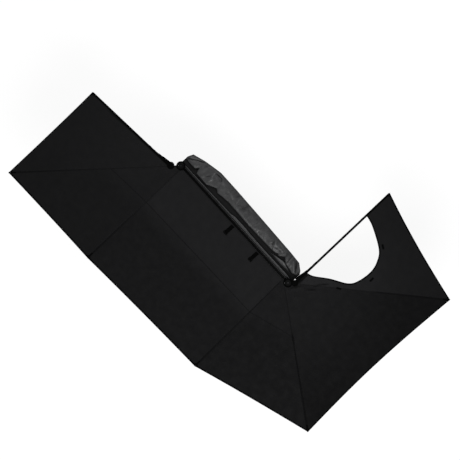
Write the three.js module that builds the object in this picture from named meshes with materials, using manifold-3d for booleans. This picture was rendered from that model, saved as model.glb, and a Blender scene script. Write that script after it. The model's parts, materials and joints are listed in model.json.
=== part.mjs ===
// Dual-hub vehicle side awning, open. Millimetres, +X forward along the vehicle, +Y outward, +Z up.
// Seven hinged arms turn on two upright hub pins at the ends of a base rail and carry six canopy panels.
import * as THREE from "three";
import { mergeVertices } from "three/addons/utils/BufferGeometryUtils.js";
import Module from "manifold-3d";

const wasm = await Module();
wasm.setup();

// General
const FIT = 0.3; // gap left between pieces that touch
const CUT = 1; // how far a cutting tool overruns the face it cuts
const ROUND_SIDES = 24;
const CORNER_STEPS = 3;
const SMALL_ROUND_SIDES = 12;
const FULL_TURN = 2 * Math.PI;
const degrees = (angle) => THREE.MathUtils.degToRad(angle);

// Plan of the open awning
const HUB_SPACING = 2380;
const RAIL_WIDTH = 50;
const RAIL_HEIGHT = 58;
const RAIL_WALL = 3;
const RAIL_OVERHANG = 65; // rail beyond each hub pin
const RAIL_CORNER = 4;
const RAIL_FLOOR = 7; // underside of the rail above the mounting face
const LIP_REACH = 9; // cover lip on the rail's rack side
const LIP_THICK = 3;
const LIP_DROP = 9; // how far the lip lies under the rail's top
const GROOVE_WIDTH = 9; // bolt groove in the rail's back
const RAIL_CAP_THICK = 6;
const RAIL_CAP_PLUG = 12;

// Brackets
const BRACKET_WIDTH = 60;
const BRACKET_THICK = 6;
const BRACKET_FOOT = 92;
const BRACKET_INSET = 330; // from a hub pin to the nearest bracket's middle
const SLOT_WIDTH = 9;
const SLOT_LENGTH = 26;
const SLOT_SPACING = 32;
const SLOT_FROM_HEEL = 56;
const BRACKET_BOLT_SPACING = 34;
const BRACKET_BOLT_HEIGHT = 36; // above the mounting face
const BOLT_RADIUS = 4;
const BOLT_HEAD_RADIUS = 7.5;
const BOLT_HEAD_HEIGHT = 5.5;
const BOLT_REACH = 9; // shank beyond the face it passes
const HEX_SIDES = 6;

// Hubs
const PIN_RADIUS = 8;
const SLEEVE_WALL = 2;
const HUB_PLATE_LENGTH = 116;
const HUB_PLATE_THICK = 9;
const HUB_BOSS_RADIUS = 27;
const HUB_SEAT_DEPTH = 6; // how deep the pin sits in its boss
const HUB_BOLT_SPACING = 88;
const CAP_RADIUS = 45;
const CAP_THICK = 6;
const CAP_EDGE = 2;
const CAP_BOLT_RADIUS = 11;
const CAP_BOLT_HEIGHT = 5;

// Arm tubes and knuckles
const TUBE_WIDTH = 25;
const TUBE_HEIGHT = 42;
const TUBE_WALL = 2;
const TUBE_CORNER = 3;
const TUBE_START = 104; // from the hub pin to the tube, along the arm
const LANE_PITCH = 30; // folded arms lie side by side this far apart
const BAND_FLOOR = 12; // from the rail's top to the rear arms
const BAND_GAP = 14; // from the rear arms up to the front arms
const PLATE_GAP = 0.6;
const KNUCKLE_RADIUS = 21;
const KNUCKLE_NECK = 21;
const KNUCKLE_BEND = 62; // along the arm, where the crank reaches its lane
const PLUG_DEPTH = 58;

// The two end arms turn on a pin beside the root of the arm before them
const TAILGATE_PIVOT_ALONG = 130; // along the carrying arm, from its hub pin
const WINDSCREEN_PIVOT_ALONG = 188;
const PIVOT_PIN_RADIUS = 5;
const PIVOT_BACK_THICK = 3;
const PIVOT_EAR_THICK = 4;
const PIVOT_EAR_RADIUS = 16;
const PIVOT_LENGTH = 40; // of the bracket, along the carrying arm
const PIVOT_EYE_RADIUS = 13.5;
const PIVOT_TUBE_START = 34; // from the pivot to the end arm's tube

// Where the canopy's corners are: distance from the arm's hub, and degrees left of straight ahead
const REAR_SIDE_REACH = 1880;
const REAR_SIDE_BEARING = 89.3;
const REAR_CORNER_REACH = 2262;
const REAR_CORNER_BEARING = 145.2;
const TAIL_REACH = 2452;
const TAIL_BEARING = 221.6;
const TAILGATE_REACH = 2042;
const TAILGATE_BEARING = 268.8;
const FRONT_SIDE_REACH = 1966;
const FRONT_SIDE_BEARING = 92.1;
const FRONT_CORNER_REACH = 2585;
const FRONT_CORNER_BEARING = 49.8;
const WINDSCREEN_REACH = 1726;
const WINDSCREEN_BEARING = 7.9;

// Arm tips
const TIP_PLATE = 5;
const TIP_PLUG = 34;
const TIP_TAB = 34; // webbing tab beyond the tube's end
const LUG_RADIUS = 6;
const KNOB_RADIUS = 10;
const LUG_BACK = 20; // from the tube's end to the lug

// Canopy
const CLOTH = 3;
const SEAM_GAP = 0.5; // from a panel's edge to the middle of the arm under it
const CANOPY_CAP_GAP = 3; // cloth is cut round each hub cap with this gap
const CANOPY_RAIL_GAP = 2; // side panel's inner edge from the rail, seen from above
const PANEL_COLUMNS = 8;
const PANEL_ROWS = 3;
const SIDE_SCALLOP = 4;
const FRONT_SCALLOP = 8;
const REAR_SCALLOP = 58;
const TAILGATE_SCALLOP = 40;
const CORNER_SCALLOP = 5;
const CUTOUT_STEPS = 4; // between two of the points below
const CUTOUT_OUTLINE = [
  // distance along the tailgate arm from its pivot, and depth into the panel
  [200, 0],
  [240, 112],
  [390, 310],
  [540, 550],
  [680, 632],
  [900, 662],
  [1075, 620],
  [1235, 500],
  [1400, 186],
  [1450, 0],
];

// Straps
const STRAP_WIDTH = 44;
const STRAP_THICK = 3;
const STRAP_START = -6;
const STRAP_END = 182;
const STRAP_SPACING = 547; // from the rail's middle back to the rear strap
const BUCKLE_LENGTH = 34;
const BUCKLE_WIDTH = 54;
const BUCKLE_THICK = 8;
const BUCKLE_BAR = 7;
const STRAP_SINK = 1; // how far the buckle is pressed into its strap

// Cover, an open bag turned back from the rail
const COVER_PAST_REAR_HUB = 40;
const COVER_PAST_FRONT_HUB = 50;
const COVER_REAR_WIDTH = 311; // from the rail's back
const COVER_FRONT_WIDTH = 346; // before the front taper
const COVER_CROWN = 6; // above its seam on the rail
const COVER_EDGE_HEIGHT = 12; // far edge above the mounting face
const COVER_THICK = 9;
const COVER_REAR_TAPER = 160; // length over which the rear end narrows
const COVER_REAR_SHARE = 0.74;
const COVER_FRONT_TAPER = 580;
const COVER_FRONT_SHARE = 0.5;
const COVER_FRONT_BULGE = 0.55; // below 1, the front taper is rounded
const COVER_COLUMNS = 22;
const COVER_ROWS = 7;
const COVER_WAVE = 4;
const COVER_WAVE_LENGTH = 260;
const BEAD_RADIUS = 4;

// Sizes that follow
const RAIL_TOP = RAIL_FLOOR + RAIL_HEIGHT;
const RAIL_BACK = -RAIL_WIDTH / 2;
const REAR_BAND = RAIL_TOP + BAND_FLOOR;
const FRONT_BAND = REAR_BAND + TUBE_HEIGHT + BAND_GAP;
const COVER_REAR_END = -COVER_PAST_REAR_HUB;
const COVER_FRONT_END = HUB_SPACING + COVER_PAST_FRONT_HUB;
const STACK_SPAN = TUBE_HEIGHT - 2 * TUBE_WALL - 2 * FIT;
const SLEEVE_RADIUS = PIN_RADIUS + FIT + SLEEVE_WALL;
const KNUCKLE_BORE = SLEEVE_RADIUS + FIT;
const LIP_HEIGHT = RAIL_TOP - LIP_DROP;
const CANOPY_RAIL_EDGE = RAIL_WIDTH / 2 + CANOPY_RAIL_GAP;
const TUBE_INSIDE = TUBE_WIDTH - 2 * TUBE_WALL - 2 * FIT; // width of what plugs a tube
const PIVOT_EYE_SPAN = TUBE_HEIGHT - 2 * PIVOT_EAR_THICK - 2 * FIT;

// Materials
const powderCoat = { color: 0x0b0b0c, roughness: 0.5, metalness: 0.3 };
const castBlack = { color: 0x101011, roughness: 0.55, metalness: 0.2 };
const steel = { color: 0xb4b6b8, roughness: 0.35, metalness: 1 };
const nylon = { color: 0x0d0d0e, roughness: 0.6, metalness: 0 };
const ripstop = { color: 0x18181a, roughness: 0.85, metalness: 0 };
const webbing = { color: 0x060606, roughness: 0.9, metalness: 0 };
const vinyl = { color: 0x343536, roughness: 0.45, metalness: 0 };

// The part's own frame has its origin on the middle bracket's mounting face.
const part = new THREE.Group();
const awning = new THREE.Group();
const FOOT_MIDDLE = RAIL_BACK - FIT - BRACKET_THICK - BRACKET_FOOT / 2;
awning.position.set(-HUB_SPACING / 2, -FOOT_MIDDLE, 0);
part.add(awning);

function addPiece(name, geometry, finish, parent = awning) {
  const piece = new THREE.Mesh(geometry, new THREE.MeshStandardMaterial(finish));
  piece.name = name;
  parent.add(piece);
  return piece;
}

// Solids for boolean work
function toSolid(geometry) {
  const bare = geometry.clone();
  bare.deleteAttribute("normal");
  bare.deleteAttribute("uv");
  const merged = mergeVertices(bare, 1e-4);
  return new wasm.Manifold(
    new wasm.Mesh({
      numProp: 3,
      vertProperties: merged.attributes.position.array,
      triVerts: new Uint32Array(merged.index.array),
    }),
  );
}

function toGeometry(solid) {
  const mesh = solid.getMesh();
  const geometry = new THREE.BufferGeometry();
  geometry.setAttribute("position", new THREE.BufferAttribute(mesh.vertProperties, mesh.numProp));
  geometry.setIndex(new THREE.BufferAttribute(mesh.triVerts, 1));
  return geometry;
}

const joined = (first, ...rest) =>
  toGeometry(rest.reduce((whole, next) => whole.add(toSolid(next)), toSolid(first)));
const cutFrom = (first, ...tools) =>
  toGeometry(tools.reduce((whole, tool) => whole.subtract(toSolid(tool)), toSolid(first)));

// A block between two corners
function block(low, high) {
  const size = high.map((value, axis) => value - low[axis]);
  const middle = high.map((value, axis) => (value + low[axis]) / 2);
  return new THREE.BoxGeometry(...size).translate(...middle);
}

// An upright round bar
function roundBar(radius, low, high, x = 0, y = 0, sides = ROUND_SIDES) {
  return new THREE.CylinderGeometry(radius, radius, high - low, sides)
    .rotateX(Math.PI / 2)
    .translate(x, y, (low + high) / 2);
}

function extrudeUp(shape, low, high, curveSegments = SMALL_ROUND_SIDES / 2) {
  const settings = { depth: high - low, bevelEnabled: false, curveSegments };
  return new THREE.ExtrudeGeometry(shape, settings).translate(0, 0, low);
}

// A rectangle with rounded corners, as an outline
function roundedOutline(width, height, corner, Outline = THREE.Shape) {
  const outline = new Outline();
  const x = width / 2 - corner;
  const y = height / 2 - corner;
  outline.absarc(x, y, corner, 0, FULL_TURN / 4);
  outline.absarc(-x, y, corner, FULL_TURN / 4, FULL_TURN / 2);
  outline.absarc(-x, -y, corner, FULL_TURN / 2, (FULL_TURN * 3) / 4);
  outline.absarc(x, -y, corner, (FULL_TURN * 3) / 4, FULL_TURN);
  return outline;
}

// A hollow bar along +X, its section centred on the axis
function hollowBar(width, height, corner, wall, start, end) {
  const section = roundedOutline(width, height, corner);
  section.holes.push(roundedOutline(width - 2 * wall, height - 2 * wall, corner - wall, THREE.Path));
  const settings = { depth: end - start, bevelEnabled: false, curveSegments: CORNER_STEPS };
  return new THREE.ExtrudeGeometry(section, settings)
    .rotateX(Math.PI / 2)
    .rotateZ(Math.PI / 2)
    .translate(start, 0, 0);
}

// A closed sheet: surface(across, along) gives the lower face, both parameters from 0 to 1
function sheetSolid(surface, columns, rows, thickness) {
  const positions = [];
  const faces = [];
  const layer = (columns + 1) * (rows + 1);
  const index = (column, row, side) => side * layer + row * (columns + 1) + column;
  for (const side of [0, 1])
    for (let row = 0; row <= rows; row++)
      for (let column = 0; column <= columns; column++) {
        const [x, y, z] = surface(column / columns, row / rows);
        positions.push(x, y, z + side * thickness);
      }
  const quad = (a, b, c, d) => faces.push(a, b, c, a, c, d);
  for (let row = 0; row < rows; row++)
    for (let column = 0; column < columns; column++) {
      const corners = (side) => [
        index(column, row, side),
        index(column + 1, row, side),
        index(column + 1, row + 1, side),
        index(column, row + 1, side),
      ];
      quad(...corners(1));
      quad(...corners(0).reverse());
    }
  for (let column = 0; column < columns; column++) {
    quad(index(column, 0, 0), index(column + 1, 0, 0), index(column + 1, 0, 1), index(column, 0, 1));
    quad(
      index(column, rows, 1),
      index(column + 1, rows, 1),
      index(column + 1, rows, 0),
      index(column, rows, 0),
    );
  }
  for (let row = 0; row < rows; row++) {
    quad(index(0, row, 1), index(0, row + 1, 1), index(0, row + 1, 0), index(0, row, 0));
    quad(
      index(columns, row, 0),
      index(columns, row + 1, 0),
      index(columns, row + 1, 1),
      index(columns, row, 1),
    );
  }
  const geometry = new THREE.BufferGeometry();
  geometry.setAttribute("position", new THREE.Float32BufferAttribute(positions, 3));
  geometry.setIndex(faces);
  return toSolid(geometry).volume() < 0 ? flipped(geometry) : geometry;
}

function flipped(geometry) {
  const turned = geometry.clone();
  const order = Array.from(geometry.index.array);
  for (let corner = 0; corner < order.length; corner += 3)
    [order[corner], order[corner + 1]] = [order[corner + 1], order[corner]];
  turned.setIndex(order);
  return turned;
}

// Base rail: a hollow box section with a cover lip and a bolt groove in its back
function addRail() {
  const start = -RAIL_OVERHANG;
  const end = HUB_SPACING + RAIL_OVERHANG;
  const middle = (RAIL_FLOOR + RAIL_TOP) / 2;
  const box = hollowBar(RAIL_WIDTH, RAIL_HEIGHT, RAIL_CORNER, RAIL_WALL, start, end).translate(0, 0, middle);
  const lip = block(
    [start, RAIL_BACK - LIP_REACH, LIP_HEIGHT - LIP_THICK],
    [end, RAIL_BACK + RAIL_WALL / 2, LIP_HEIGHT],
  );
  const groove = block(
    [start - CUT, RAIL_BACK - CUT, BRACKET_BOLT_HEIGHT - GROOVE_WIDTH / 2],
    [end + CUT, RAIL_BACK + RAIL_WALL + CUT, BRACKET_BOLT_HEIGHT + GROOVE_WIDTH / 2],
  );
  const boltHoles = [0, HUB_SPACING].flatMap((hub) =>
    [-1, 1].map((side) =>
      roundBar(
        BOLT_RADIUS + FIT,
        RAIL_TOP - RAIL_WALL - CUT,
        RAIL_TOP + CUT,
        hub + (side * HUB_BOLT_SPACING) / 2,
        0,
        SMALL_ROUND_SIDES,
      ),
    ),
  );
  addPiece("base_rail", cutFrom(joined(box, lip), groove, ...boltHoles), powderCoat);

  const inner = RAIL_WIDTH - 2 * RAIL_WALL - 2 * FIT;
  const innerHeight = RAIL_HEIGHT - 2 * RAIL_WALL - 2 * FIT;
  for (const [name, face, way] of [
    ["rail_end_cap_rear", start - FIT, -1],
    ["rail_end_cap_front", end + FIT, 1],
  ]) {
    const low = Math.min(face, face + way * RAIL_CAP_THICK);
    const plate = solidBar(RAIL_WIDTH, RAIL_HEIGHT, RAIL_CORNER, low, low + RAIL_CAP_THICK);
    const plugLow = way < 0 ? low + CUT : face - RAIL_CAP_PLUG;
    const plugHigh = way < 0 ? face + RAIL_CAP_PLUG : face + CUT;
    const plug = solidBar(inner, innerHeight, RAIL_CORNER, plugLow, plugHigh);
    addPiece(name, joined(plate, plug).translate(0, 0, middle), nylon);
  }
}

// A solid bar along +X with rounded edges
function solidBar(width, height, corner, start, end) {
  const settings = { depth: end - start, bevelEnabled: false, curveSegments: CORNER_STEPS };
  return new THREE.ExtrudeGeometry(roundedOutline(width, height, corner), settings)
    .rotateX(Math.PI / 2)
    .rotateZ(Math.PI / 2)
    .translate(start, 0, 0);
}

// L brackets: a foot on the rack and a leg against the rail's back
function addBrackets() {
  const heel = RAIL_BACK - FIT;
  const legTop = LIP_HEIGHT - LIP_THICK - FIT;
  const places = [
    ["rear", BRACKET_INSET],
    ["middle", HUB_SPACING / 2],
    ["front", HUB_SPACING - BRACKET_INSET],
  ];
  for (const [name, x] of places) {
    const left = x - BRACKET_WIDTH / 2;
    const right = x + BRACKET_WIDTH / 2;
    const foot = block([left, heel - BRACKET_THICK - BRACKET_FOOT, 0], [right, heel, BRACKET_THICK]);
    const leg = block([left, heel - BRACKET_THICK, 0], [right, heel, legTop]);
    const slots = [-1, 1].map((side) => slotTool(x + (side * SLOT_SPACING) / 2, heel - SLOT_FROM_HEEL));
    const holes = [-1, 1].map((side) =>
      sideBar(BOLT_RADIUS + FIT, heel - BRACKET_THICK - CUT, heel + CUT, boltPlace(x, side)),
    );
    addPiece(`bracket_${name}`, cutFrom(joined(foot, leg), ...slots, ...holes), powderCoat);
    for (const side of [-1, 1]) {
      const faceY = heel - BRACKET_THICK - FIT;
      const head = sideBar(BOLT_HEAD_RADIUS, faceY - BOLT_HEAD_HEIGHT, faceY, boltPlace(x, side), HEX_SIDES);
      const shank = sideBar(BOLT_RADIUS, faceY - CUT, RAIL_BACK + BOLT_REACH, boltPlace(x, side));
      const place = side < 0 ? "left" : "right";
      addPiece(`bracket_bolt_${name}_${place}`, joined(head, shank), steel);
    }
  }
}

const boltPlace = (x, side) => [x + (side * BRACKET_BOLT_SPACING) / 2, BRACKET_BOLT_HEIGHT];

// A round or hexagonal bar along Y
function sideBar(radius, low, high, [x, z], sides = SMALL_ROUND_SIDES) {
  return new THREE.CylinderGeometry(radius, radius, high - low, sides).translate(x, (low + high) / 2, z);
}

function slotTool(x, y) {
  const straight = SLOT_LENGTH / 2 - SLOT_WIDTH / 2;
  const outline = new THREE.Shape();
  outline.absarc(x, y + straight, SLOT_WIDTH / 2, 0, FULL_TURN / 2);
  outline.absarc(x, y - straight, SLOT_WIDTH / 2, FULL_TURN / 2, FULL_TURN);
  return extrudeUp(outline, -CUT, BRACKET_THICK + CUT);
}

// One hub: base, pin, sleeve, cap and bolts, for a stack of knuckles that starts at stackLow
function addHub(name, x, band) {
  const stackLow = band + TUBE_WALL;
  const stackHigh = band + TUBE_HEIGHT - TUBE_WALL;
  const plateTop = RAIL_TOP + FIT + HUB_PLATE_THICK;
  const plate = solidBar(HUB_PLATE_LENGTH, HUB_PLATE_THICK, RAIL_CORNER, -RAIL_WIDTH / 2, RAIL_WIDTH / 2)
    .rotateZ(Math.PI / 2)
    .translate(x, 0, RAIL_TOP + FIT + HUB_PLATE_THICK / 2);
  const boss = roundBar(HUB_BOSS_RADIUS, RAIL_TOP + FIT + CUT, stackLow, x);
  const seatFloor = stackLow - HUB_SEAT_DEPTH;
  const seat = roundBar(PIN_RADIUS + FIT, seatFloor, stackLow + CUT, x, 0, SMALL_ROUND_SIDES);
  const boltHoles = [-1, 1].map((side) =>
    roundBar(
      BOLT_RADIUS + FIT,
      RAIL_TOP - CUT,
      plateTop + CUT,
      x + (side * HUB_BOLT_SPACING) / 2,
      0,
      SMALL_ROUND_SIDES,
    ),
  );
  addPiece(`${name}_hub_base`, cutFrom(joined(plate, boss), seat, ...boltHoles), castBlack);

  const pinTop = stackHigh + FIT + CAP_THICK / 2;
  addPiece(`${name}_hub_pin`, roundBar(PIN_RADIUS, seatFloor + FIT, pinTop, x, 0, SMALL_ROUND_SIDES), steel);

  const sleeve = roundBar(SLEEVE_RADIUS, stackLow + FIT, stackHigh, x);
  const sleeveBore = roundBar(PIN_RADIUS + FIT, stackLow - CUT, stackHigh + CUT, x, 0, SMALL_ROUND_SIDES);
  addPiece(`${name}_hub_sleeve`, cutFrom(sleeve, sleeveBore), nylon);

  const capLow = stackHigh + FIT;
  const profile = [
    new THREE.Vector2(0, capLow),
    new THREE.Vector2(CAP_RADIUS, capLow),
    new THREE.Vector2(CAP_RADIUS, capLow + CAP_THICK - CAP_EDGE),
    new THREE.Vector2(CAP_RADIUS - CAP_EDGE, capLow + CAP_THICK),
    new THREE.Vector2(0, capLow + CAP_THICK),
  ];
  const cap = new THREE.LatheGeometry(profile, ROUND_SIDES).rotateX(Math.PI / 2).translate(x, 0, 0);
  const capSeat = roundBar(PIN_RADIUS + FIT, capLow - CUT, pinTop + FIT, x, 0, SMALL_ROUND_SIDES);
  addPiece(`${name}_hub_cap`, cutFrom(cap, capSeat), castBlack);

  const headLow = capLow + CAP_THICK + FIT;
  const head = roundBar(CAP_BOLT_RADIUS, headLow, headLow + CAP_BOLT_HEIGHT, x, 0, HEX_SIDES);
  addPiece(`${name}_hub_cap_bolt`, head, steel);

  for (const side of [-1, 1]) {
    const place = x + (side * HUB_BOLT_SPACING) / 2;
    const shank = roundBar(BOLT_RADIUS, RAIL_TOP - BOLT_REACH, plateTop + CUT, place, 0, SMALL_ROUND_SIDES);
    const washerLow = plateTop + FIT;
    const boltHead = roundBar(
      BOLT_HEAD_RADIUS,
      washerLow,
      Math.min(washerLow + BOLT_HEAD_HEIGHT, stackLow - FIT),
      place,
      0,
      HEX_SIDES,
    );
    const end = side < 0 ? "behind" : "ahead";
    addPiece(`${name}_hub_bolt_${end}`, joined(boltHead, shank), steel);
  }
}

// Arms. An offset is where the tube lies beside its pin, left of its direction. A level is the place of
// the knuckle's plate in the stack on the hub pin. The end arms turn on a pivot beside another arm.
const REAR_HUB = { name: "rear", x: 0, band: REAR_BAND, plates: 3 };
const FRONT_HUB = { name: "front", x: HUB_SPACING, band: FRONT_BAND, plates: 2 };
const arm = (name, hub, level, offset, reach, bearing) => ({ name, hub, level, offset, reach, bearing });
const endArm = (name, carrier, along, beside, reach, bearing) => ({
  ...arm(name, carrier.hub, 0, 0, reach, bearing),
  carrier,
  along,
  beside,
});
const REAR_SIDE_ARM = arm("rear_side_arm", REAR_HUB, 0, -3 * LANE_PITCH, REAR_SIDE_REACH, REAR_SIDE_BEARING);
const REAR_CORNER_ARM = arm(
  "rear_corner_arm",
  REAR_HUB,
  1,
  -2 * LANE_PITCH,
  REAR_CORNER_REACH,
  REAR_CORNER_BEARING,
);
const TAIL_ARM = arm("tail_arm", REAR_HUB, 2, 0, TAIL_REACH, TAIL_BEARING);
const TAILGATE_ARM = endArm(
  "tailgate_arm",
  TAIL_ARM,
  TAILGATE_PIVOT_ALONG,
  LANE_PITCH,
  TAILGATE_REACH,
  TAILGATE_BEARING,
);
const FRONT_SIDE_ARM = arm("front_side_arm", FRONT_HUB, 0, LANE_PITCH, FRONT_SIDE_REACH, FRONT_SIDE_BEARING);
const FRONT_CORNER_ARM = arm("front_corner_arm", FRONT_HUB, 1, 0, FRONT_CORNER_REACH, FRONT_CORNER_BEARING);
const WINDSCREEN_ARM = endArm(
  "windscreen_arm",
  FRONT_CORNER_ARM,
  WINDSCREEN_PIVOT_ALONG,
  -LANE_PITCH,
  WINDSCREEN_REACH,
  WINDSCREEN_BEARING,
);
const HUB_ARMS = [REAR_SIDE_ARM, REAR_CORNER_ARM, TAIL_ARM, FRONT_SIDE_ARM, FRONT_CORNER_ARM];
const END_ARMS = [TAILGATE_ARM, WINDSCREEN_ARM];

// A point of an arm's own plan, along its direction and left of it, in the awning's plan
const fromPin = (pin, direction, along, left) =>
  new THREE.Vector2(along, left).rotateAround(new THREE.Vector2(), direction).add(pin);

// Where an arm lies: its pin, its direction, its length and its tube's ends
function layOut({ hub, offset, reach, bearing, carrier, along, beside }) {
  const hubPin = new THREE.Vector2(hub.x, 0);
  const corner = fromPin(hubPin, degrees(bearing), reach, 0);
  const pin = carrier ? fromPin(hubPin, layOut(carrier).direction, along, beside) : hubPin;
  const toCorner = corner.sub(pin);
  const length = Math.sqrt(toCorner.lengthSq() - offset ** 2);
  const direction = toCorner.angle() - Math.atan2(offset, length);
  const tubeStart = carrier ? PIVOT_TUBE_START : TUBE_START;
  return { pin, direction, length, tubeStart, tubeEnd: length - TIP_TAB };
}

// A hub arm's knuckle: a plate on the pin, cranked out to the arm's lane, with a plug in the tube
function knuckle({ hub, level, offset }) {
  const stackLow = hub.band + TUBE_WALL + FIT;
  const pitch = STACK_SPAN / hub.plates;
  const low = stackLow + level * pitch;
  const high = low + pitch - PLATE_GAP;
  const eye = roundBar(KNUCKLE_RADIUS, low, high);
  const crank = new THREE.Vector2(KNUCKLE_BEND, offset);
  const across = new THREE.Vector2(-crank.y, crank.x).normalize().multiplyScalar(KNUCKLE_NECK / 2);
  const neckShape = new THREE.Shape([
    new THREE.Vector2(-across.x, -across.y),
    new THREE.Vector2(crank.x - across.x, crank.y - across.y),
    new THREE.Vector2(crank.x + across.x, crank.y + across.y),
    new THREE.Vector2(across.x, across.y),
  ]);
  const neck = extrudeUp(neckShape, low, high);
  const bend = roundBar(KNUCKLE_NECK / 2, low, high, KNUCKLE_BEND, offset, SMALL_ROUND_SIDES);
  const tongue = block(
    [KNUCKLE_BEND, offset - TUBE_INSIDE / 2, low],
    [TUBE_START + PLUG_DEPTH, offset + TUBE_INSIDE / 2, high],
  );
  const bore = roundBar(KNUCKLE_BORE, low - CUT, high + CUT);
  return cutFrom(joined(eye, neck, bend, tongue, rootPlug(hub, TUBE_START, offset)), bore);
}

// What fills the root of a tube
function rootPlug(hub, tubeStart, offset = 0) {
  const low = hub.band + TUBE_WALL + FIT;
  return block(
    [tubeStart - TUBE_WALL, offset - TUBE_INSIDE / 2, low],
    [tubeStart + PLUG_DEPTH, offset + TUBE_INSIDE / 2, low + STACK_SPAN],
  );
}

// An end arm's knuckle: an eye between the ears of its pivot bracket, with a plug in the tube
function endKnuckle({ hub }) {
  const low = hub.band + PIVOT_EAR_THICK + FIT;
  const high = low + PIVOT_EYE_SPAN;
  const eye = roundBar(PIVOT_EYE_RADIUS, low, high);
  const neck = block([0, -TUBE_INSIDE / 2, low], [PIVOT_TUBE_START + PLUG_DEPTH, TUBE_INSIDE / 2, high]);
  const bore = roundBar(PIVOT_PIN_RADIUS + FIT, low - CUT, high + CUT, 0, 0, SMALL_ROUND_SIDES);
  return cutFrom(joined(eye, neck, rootPlug(hub, PIVOT_TUBE_START)), bore);
}

// The pivot bracket on the carrying arm's side: a back plate, two ears and the pin between them
function pivotBracket({ hub, along, beside }) {
  const side = Math.sign(beside);
  const low = hub.band;
  const high = hub.band + TUBE_HEIGHT;
  const nearFace = side * (TUBE_WIDTH / 2 + FIT);
  const plateFace = nearFace + side * PIVOT_BACK_THICK;
  const slab = (farFace, from, to) =>
    block(
      [along - PIVOT_LENGTH / 2, Math.min(nearFace, farFace), from],
      [along + PIVOT_LENGTH / 2, Math.max(nearFace, farFace), to],
    );
  const ear = (from, to) => joined(slab(beside, from, to), roundBar(PIVOT_EAR_RADIUS, from, to, along, beside));
  const pin = roundBar(PIVOT_PIN_RADIUS, low + CUT, high - CUT, along, beside, SMALL_ROUND_SIDES);
  return joined(
    slab(plateFace, low, high),
    ear(low, low + PIVOT_EAR_THICK),
    ear(high - PIVOT_EAR_THICK, high),
    pin,
  );
}

function tip({ hub, offset }, { tubeEnd }) {
  const low = hub.band + TUBE_WALL + FIT;
  const plug = block(
    [tubeEnd - TIP_PLUG, offset - TUBE_INSIDE / 2, low],
    [tubeEnd + CUT, offset + TUBE_INSIDE / 2, low + STACK_SPAN],
  );
  const face = block(
    [tubeEnd + FIT, offset - TUBE_WIDTH / 2, hub.band],
    [tubeEnd + FIT + TIP_PLATE, offset + TUBE_WIDTH / 2, hub.band + TUBE_HEIGHT],
  );
  const lugEnd = tubeEnd + LUG_BACK;
  const lugMiddle = hub.band + TUBE_HEIGHT / 2;
  const lug = new THREE.CylinderGeometry(LUG_RADIUS, LUG_RADIUS, lugEnd - tubeEnd, SMALL_ROUND_SIDES)
    .rotateZ(Math.PI / 2)
    .translate((tubeEnd + lugEnd) / 2, offset, lugMiddle);
  const knob = new THREE.CylinderGeometry(KNOB_RADIUS, KNOB_RADIUS, LUG_RADIUS, SMALL_ROUND_SIDES)
    .rotateZ(Math.PI / 2)
    .translate(lugEnd, offset, lugMiddle);
  return joined(plug, face, lug, knob);
}

function addArm(piece) {
  const laid = layOut(piece);
  const group = new THREE.Group();
  group.position.set(laid.pin.x, laid.pin.y, 0);
  group.rotation.z = laid.direction;
  awning.add(group);
  const tube = hollowBar(
    TUBE_WIDTH,
    TUBE_HEIGHT,
    TUBE_CORNER,
    TUBE_WALL,
    laid.tubeStart,
    laid.tubeEnd,
  ).translate(0, piece.offset, piece.hub.band + TUBE_HEIGHT / 2);
  addPiece(piece.name, tube, powderCoat, group);
  addPiece(`${piece.name}_knuckle`, piece.carrier ? endKnuckle(piece) : knuckle(piece), castBlack, group);
  addPiece(`${piece.name}_tip`, tip(piece, laid), nylon, group);
  const end = END_ARMS.find(({ carrier }) => carrier === piece);
  if (end) addPiece(`${piece.name}_pivot`, pivotBracket(end), castBlack, group);
}

// A point on the middle of an arm's tube, at a distance along it, in the awning's plan
function onArm(piece, along, sideways = 0) {
  const { pin, direction } = layOut(piece);
  const point = fromPin(pin, direction, along, piece.offset + sideways);
  return [point.x, point.y, piece.hub.band + TUBE_HEIGHT + FIT];
}

// A fan panel between two arms of one hub, from the arms' roots to a scalloped outer edge
function fanPanel(first, second, scallop, secondRoot = 0) {
  const firstEnd = layOut(first).length;
  const secondEnd = layOut(second).length;
  return (across, along) => {
    const start = onArm(first, along * firstEnd, SEAM_GAP);
    const end = onArm(second, secondRoot + along * (secondEnd - secondRoot), -SEAM_GAP);
    const inward = (scallop * 4 * across * (1 - across) * along) / Math.max(firstEnd, secondEnd);
    return start.map((value, axis) => {
      const point = value + (end[axis] - value) * across;
      const centre = axis === 0 ? first.hub.x : 0;
      return axis === 2 ? point : point + (centre - point) * inward;
    });
  };
}

// The side panel between the two hubs, which slopes from the front arms' level to the rear arms' level
function sidePanel(rear, front, scallop) {
  const rearEnd = layOut(rear).length;
  const frontEnd = layOut(front).length;
  return (across, along) => {
    const start = onArm(rear, CANOPY_RAIL_EDGE + along * (rearEnd - CANOPY_RAIL_EDGE), -SEAM_GAP);
    const end = onArm(front, CANOPY_RAIL_EDGE + along * (frontEnd - CANOPY_RAIL_EDGE), SEAM_GAP);
    const point = start.map((value, axis) => value + (end[axis] - value) * across);
    point[1] -= scallop * 4 * across * (1 - across) * along;
    return point;
  };
}

// The tailgate cut-out lies along its arm, straight there and rounded inward
function cutoutTool(piece) {
  const { pin, direction } = layOut(piece);
  const points = CUTOUT_OUTLINE.map(([along, depth]) => new THREE.Vector2(along, -depth));
  const curve = new THREE.SplineCurve(points).getPoints(CUTOUT_STEPS * (points.length - 1));
  const nearEnd = new THREE.Vector2(points[0].x, TUBE_WIDTH);
  const farEnd = new THREE.Vector2(points[points.length - 1].x, TUBE_WIDTH);
  const top = piece.hub.band + TUBE_HEIGHT;
  return extrudeUp(new THREE.Shape([nearEnd, ...curve, farEnd]), top - CLOTH, top + FIT + 2 * CLOTH)
    .rotateZ(direction)
    .translate(pin.x, pin.y, 0);
}

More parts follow.
